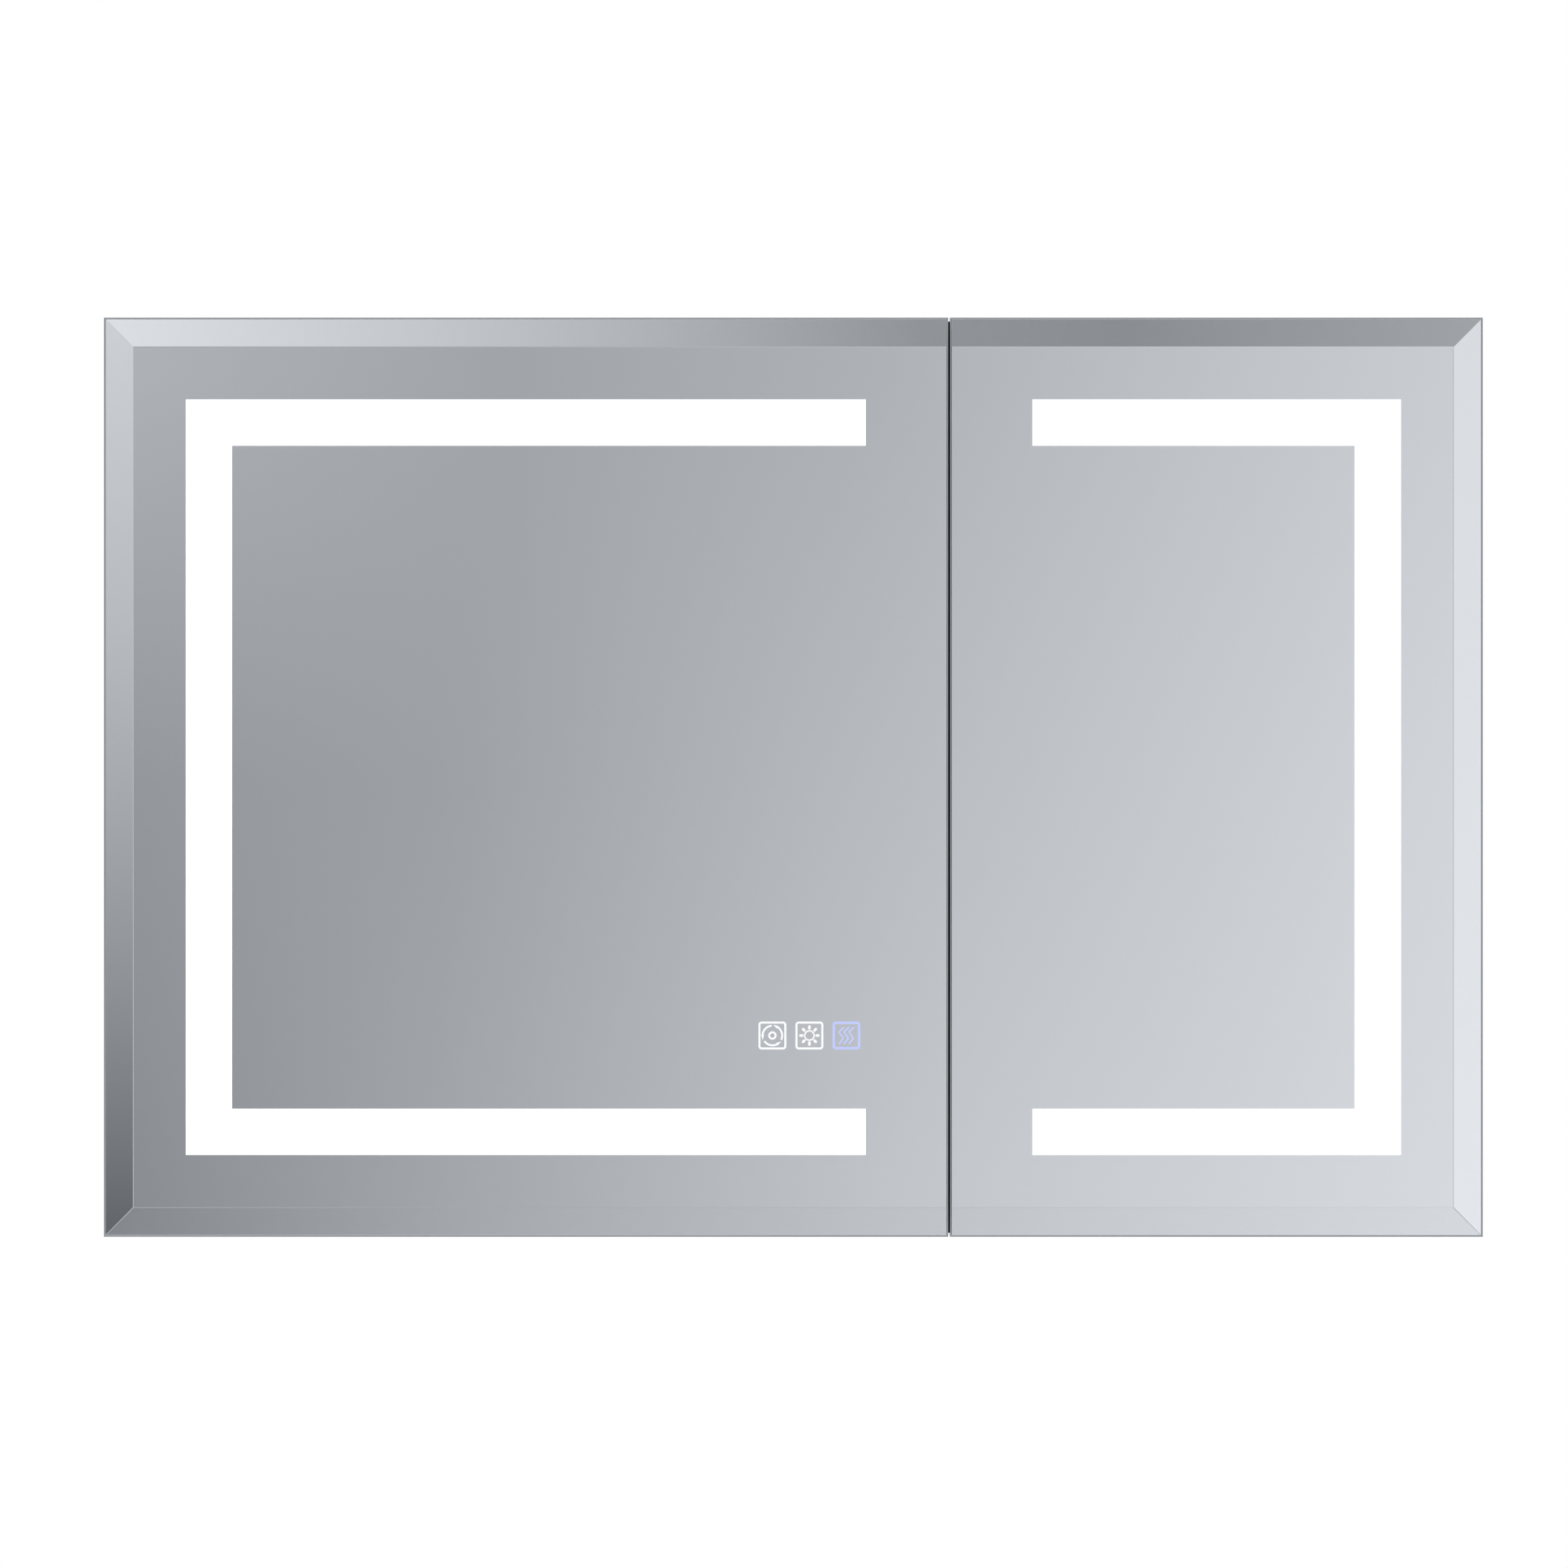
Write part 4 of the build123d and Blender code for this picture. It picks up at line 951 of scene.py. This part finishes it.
def build_world():
    """White to look at; in the mirrors, a quiet room with soft, slow changes of light."""
    world = bpy.data.worlds.new("studio")
    bpy.context.scene.world = world
    world.use_nodes = True
    world.node_tree.nodes.clear()
    tree = Tree(world.node_tree)
    direction = tree.add("ShaderNodeTexCoord").outputs["Generated"]
    way = tree.add("ShaderNodeSeparateXYZ", {0: direction}).outputs
    ahead = tree.maths("MAXIMUM", tree.maths("MULTIPLY", way["Y"], -1.0), 0.02)
    u = tree.maths("DIVIDE", way["X"], ahead)
    v = tree.maths("DIVIDE", way["Z"], ahead)
    across = tree.between(u, -SEEN_U, SEEN_U, smooth=False)
    up = tree.between(v, -SEEN_V, SEEN_V, smooth=False)

    def tones(value, stops, seen_as=tone):
        return tree.ramp(value, [(place, seen_as(level)) for place, level in stops])

    lower = tree.between(v, -SEEN_V * LOW_SHARE, 0.0, smooth=False)
    upper = tree.between(v, 0.0, SEEN_V * HIGH_SHARE, smooth=False)
    flat = tree.blend(lower, tones(across, LOW_ROOM), tones(across, EYE_ROOM))
    flat = tree.blend(upper, flat, tones(across, HIGH_ROOM))
    # Glass bends a bevel's reflection inwards: each bevel sees the far side.
    above = tree.between(v, *CEILING_V)
    below = tree.between(v, *(-edge for edge in CEILING_V))
    rightward = tree.between(u, *WALL_U)
    leftward = tree.between(u, *(-edge for edge in WALL_U))
    flat = tree.blend(above, flat, tones(across, OVERHEAD, bevel_tone))
    flat = tree.blend(below, flat, tones(across, UNDERFOOT, bevel_tone))
    flat = tree.blend(rightward, flat, tones(up, RIGHT_WALL, bevel_tone))
    flat = tree.blend(leftward, flat, tones(up, LEFT_WALL, bevel_tone))

    height = tree.between(way["Z"], -0.6, 0.9)
    room = tree.ramp(height, ROOM_TONES)
    side_light = tree.between(way["X"], -1.0, 1.0, 1.12, 0.88)
    room = tree.add("ShaderNodeVectorMath", {0: room, 1: side_light}, operation="MULTIPLY").outputs[0]
    inside_u = tree.between(tree.maths("ABSOLUTE", u), PATCH_U, PATCH_U * PATCH_FADE, 1.0, 0.0)
    inside_v = tree.between(tree.maths("ABSOLUTE", v), PATCH_V, PATCH_V * PATCH_FADE, 1.0, 0.0)
    forward = tree.maths("LESS_THAN", way["Y"], -0.2)
    patch = tree.maths("MULTIPLY", tree.maths("MULTIPLY", inside_u, inside_v), forward)
    seen = tree.blend(patch, room, flat)

    reflected = tree.add("ShaderNodeBackground", {"Color": seen, "Strength": 1.0})
    plain = tree.add("ShaderNodeBackground", {"Color": WHITE, "Strength": 1.0})
    direct = tree.add("ShaderNodeLightPath").outputs["Is Camera Ray"]
    both = tree.add("ShaderNodeMixShader", {0: direct, 1: reflected.outputs[0], 2: plain.outputs[0]})
    end = tree.add("ShaderNodeOutputWorld")
    tree.feed(end.inputs["Surface"], both.outputs[0])


def add_softbox(name, place, size, power):
    """A large soft lamp aimed at the cabinet; mirrors don't show it."""
    lamp = bpy.data.lights.new(name, "AREA")
    lamp.shape = "RECTANGLE"
    lamp.size, lamp.size_y = size
    lamp.energy = power
    holder = bpy.data.objects.new(name, lamp)
    bpy.context.collection.objects.link(holder)
    holder.location = place
    holder.rotation_euler = Vector(place).to_track_quat("Z", "Y").to_euler()
    holder.visible_glossy = False
    holder.visible_transmission = False


FLOOR_DROP = 1.0  # below the middle of the cabinet
FLOOR_RADIUS = 6.0


def build_floor():
    """A pale floor that fades out around the cabinet."""
    deselect()
    bpy.ops.mesh.primitive_circle_add(
        vertices=96, radius=FLOOR_RADIUS, fill_type="NGON", location=(0, front_y, -FLOOR_DROP)
    )
    floor = settle(bpy.context.object, "floor")
    material, tree, shader = new_material("pale_floor")
    inputs = {0: tree.object_place(), 1: (1.0, 1.0, 0.0)}
    flat = tree.add("ShaderNodeVectorMath", inputs, operation="MULTIPLY").outputs[0]
    reach = tree.add("ShaderNodeVectorMath", {0: flat}, operation="LENGTH").outputs["Value"]
    grain = tree.group("fine_grain", Size=60.0, Patch=1.5)
    shade = tree.blend(grain["Shade"], (0.60, 0.60, 0.60), (0.63, 0.63, 0.63))
    tree.feed(shader.inputs["Base Color"], shade)
    shader.inputs["Roughness"].default_value = 0.7
    clear = tree.add("ShaderNodeBsdfTransparent")
    share = tree.between(reach, FLOOR_RADIUS * 0.25, FLOOR_RADIUS * 0.9)
    mixed = tree.add("ShaderNodeMixShader", {0: share, 1: shader.outputs[0], 2: clear.outputs[0]})
    end = material.node_tree.nodes["Material Output"]
    tree.feed(end.inputs["Surface"], mixed.outputs[0])
    floor.data.materials.append(material)


add_camera()
build_world()
build_floor()
# Places and sizes in metres, powers in watts.
add_softbox("key_light", (-1.6, -2.2, 1.9), (1.8, 1.4), 45)
add_softbox("fill_light", (2.0, -1.8, 0.6), (1.6, 1.6), 18)
add_softbox("back_light", (0.8, 2.4, 1.6), (2.0, 1.4), 30)
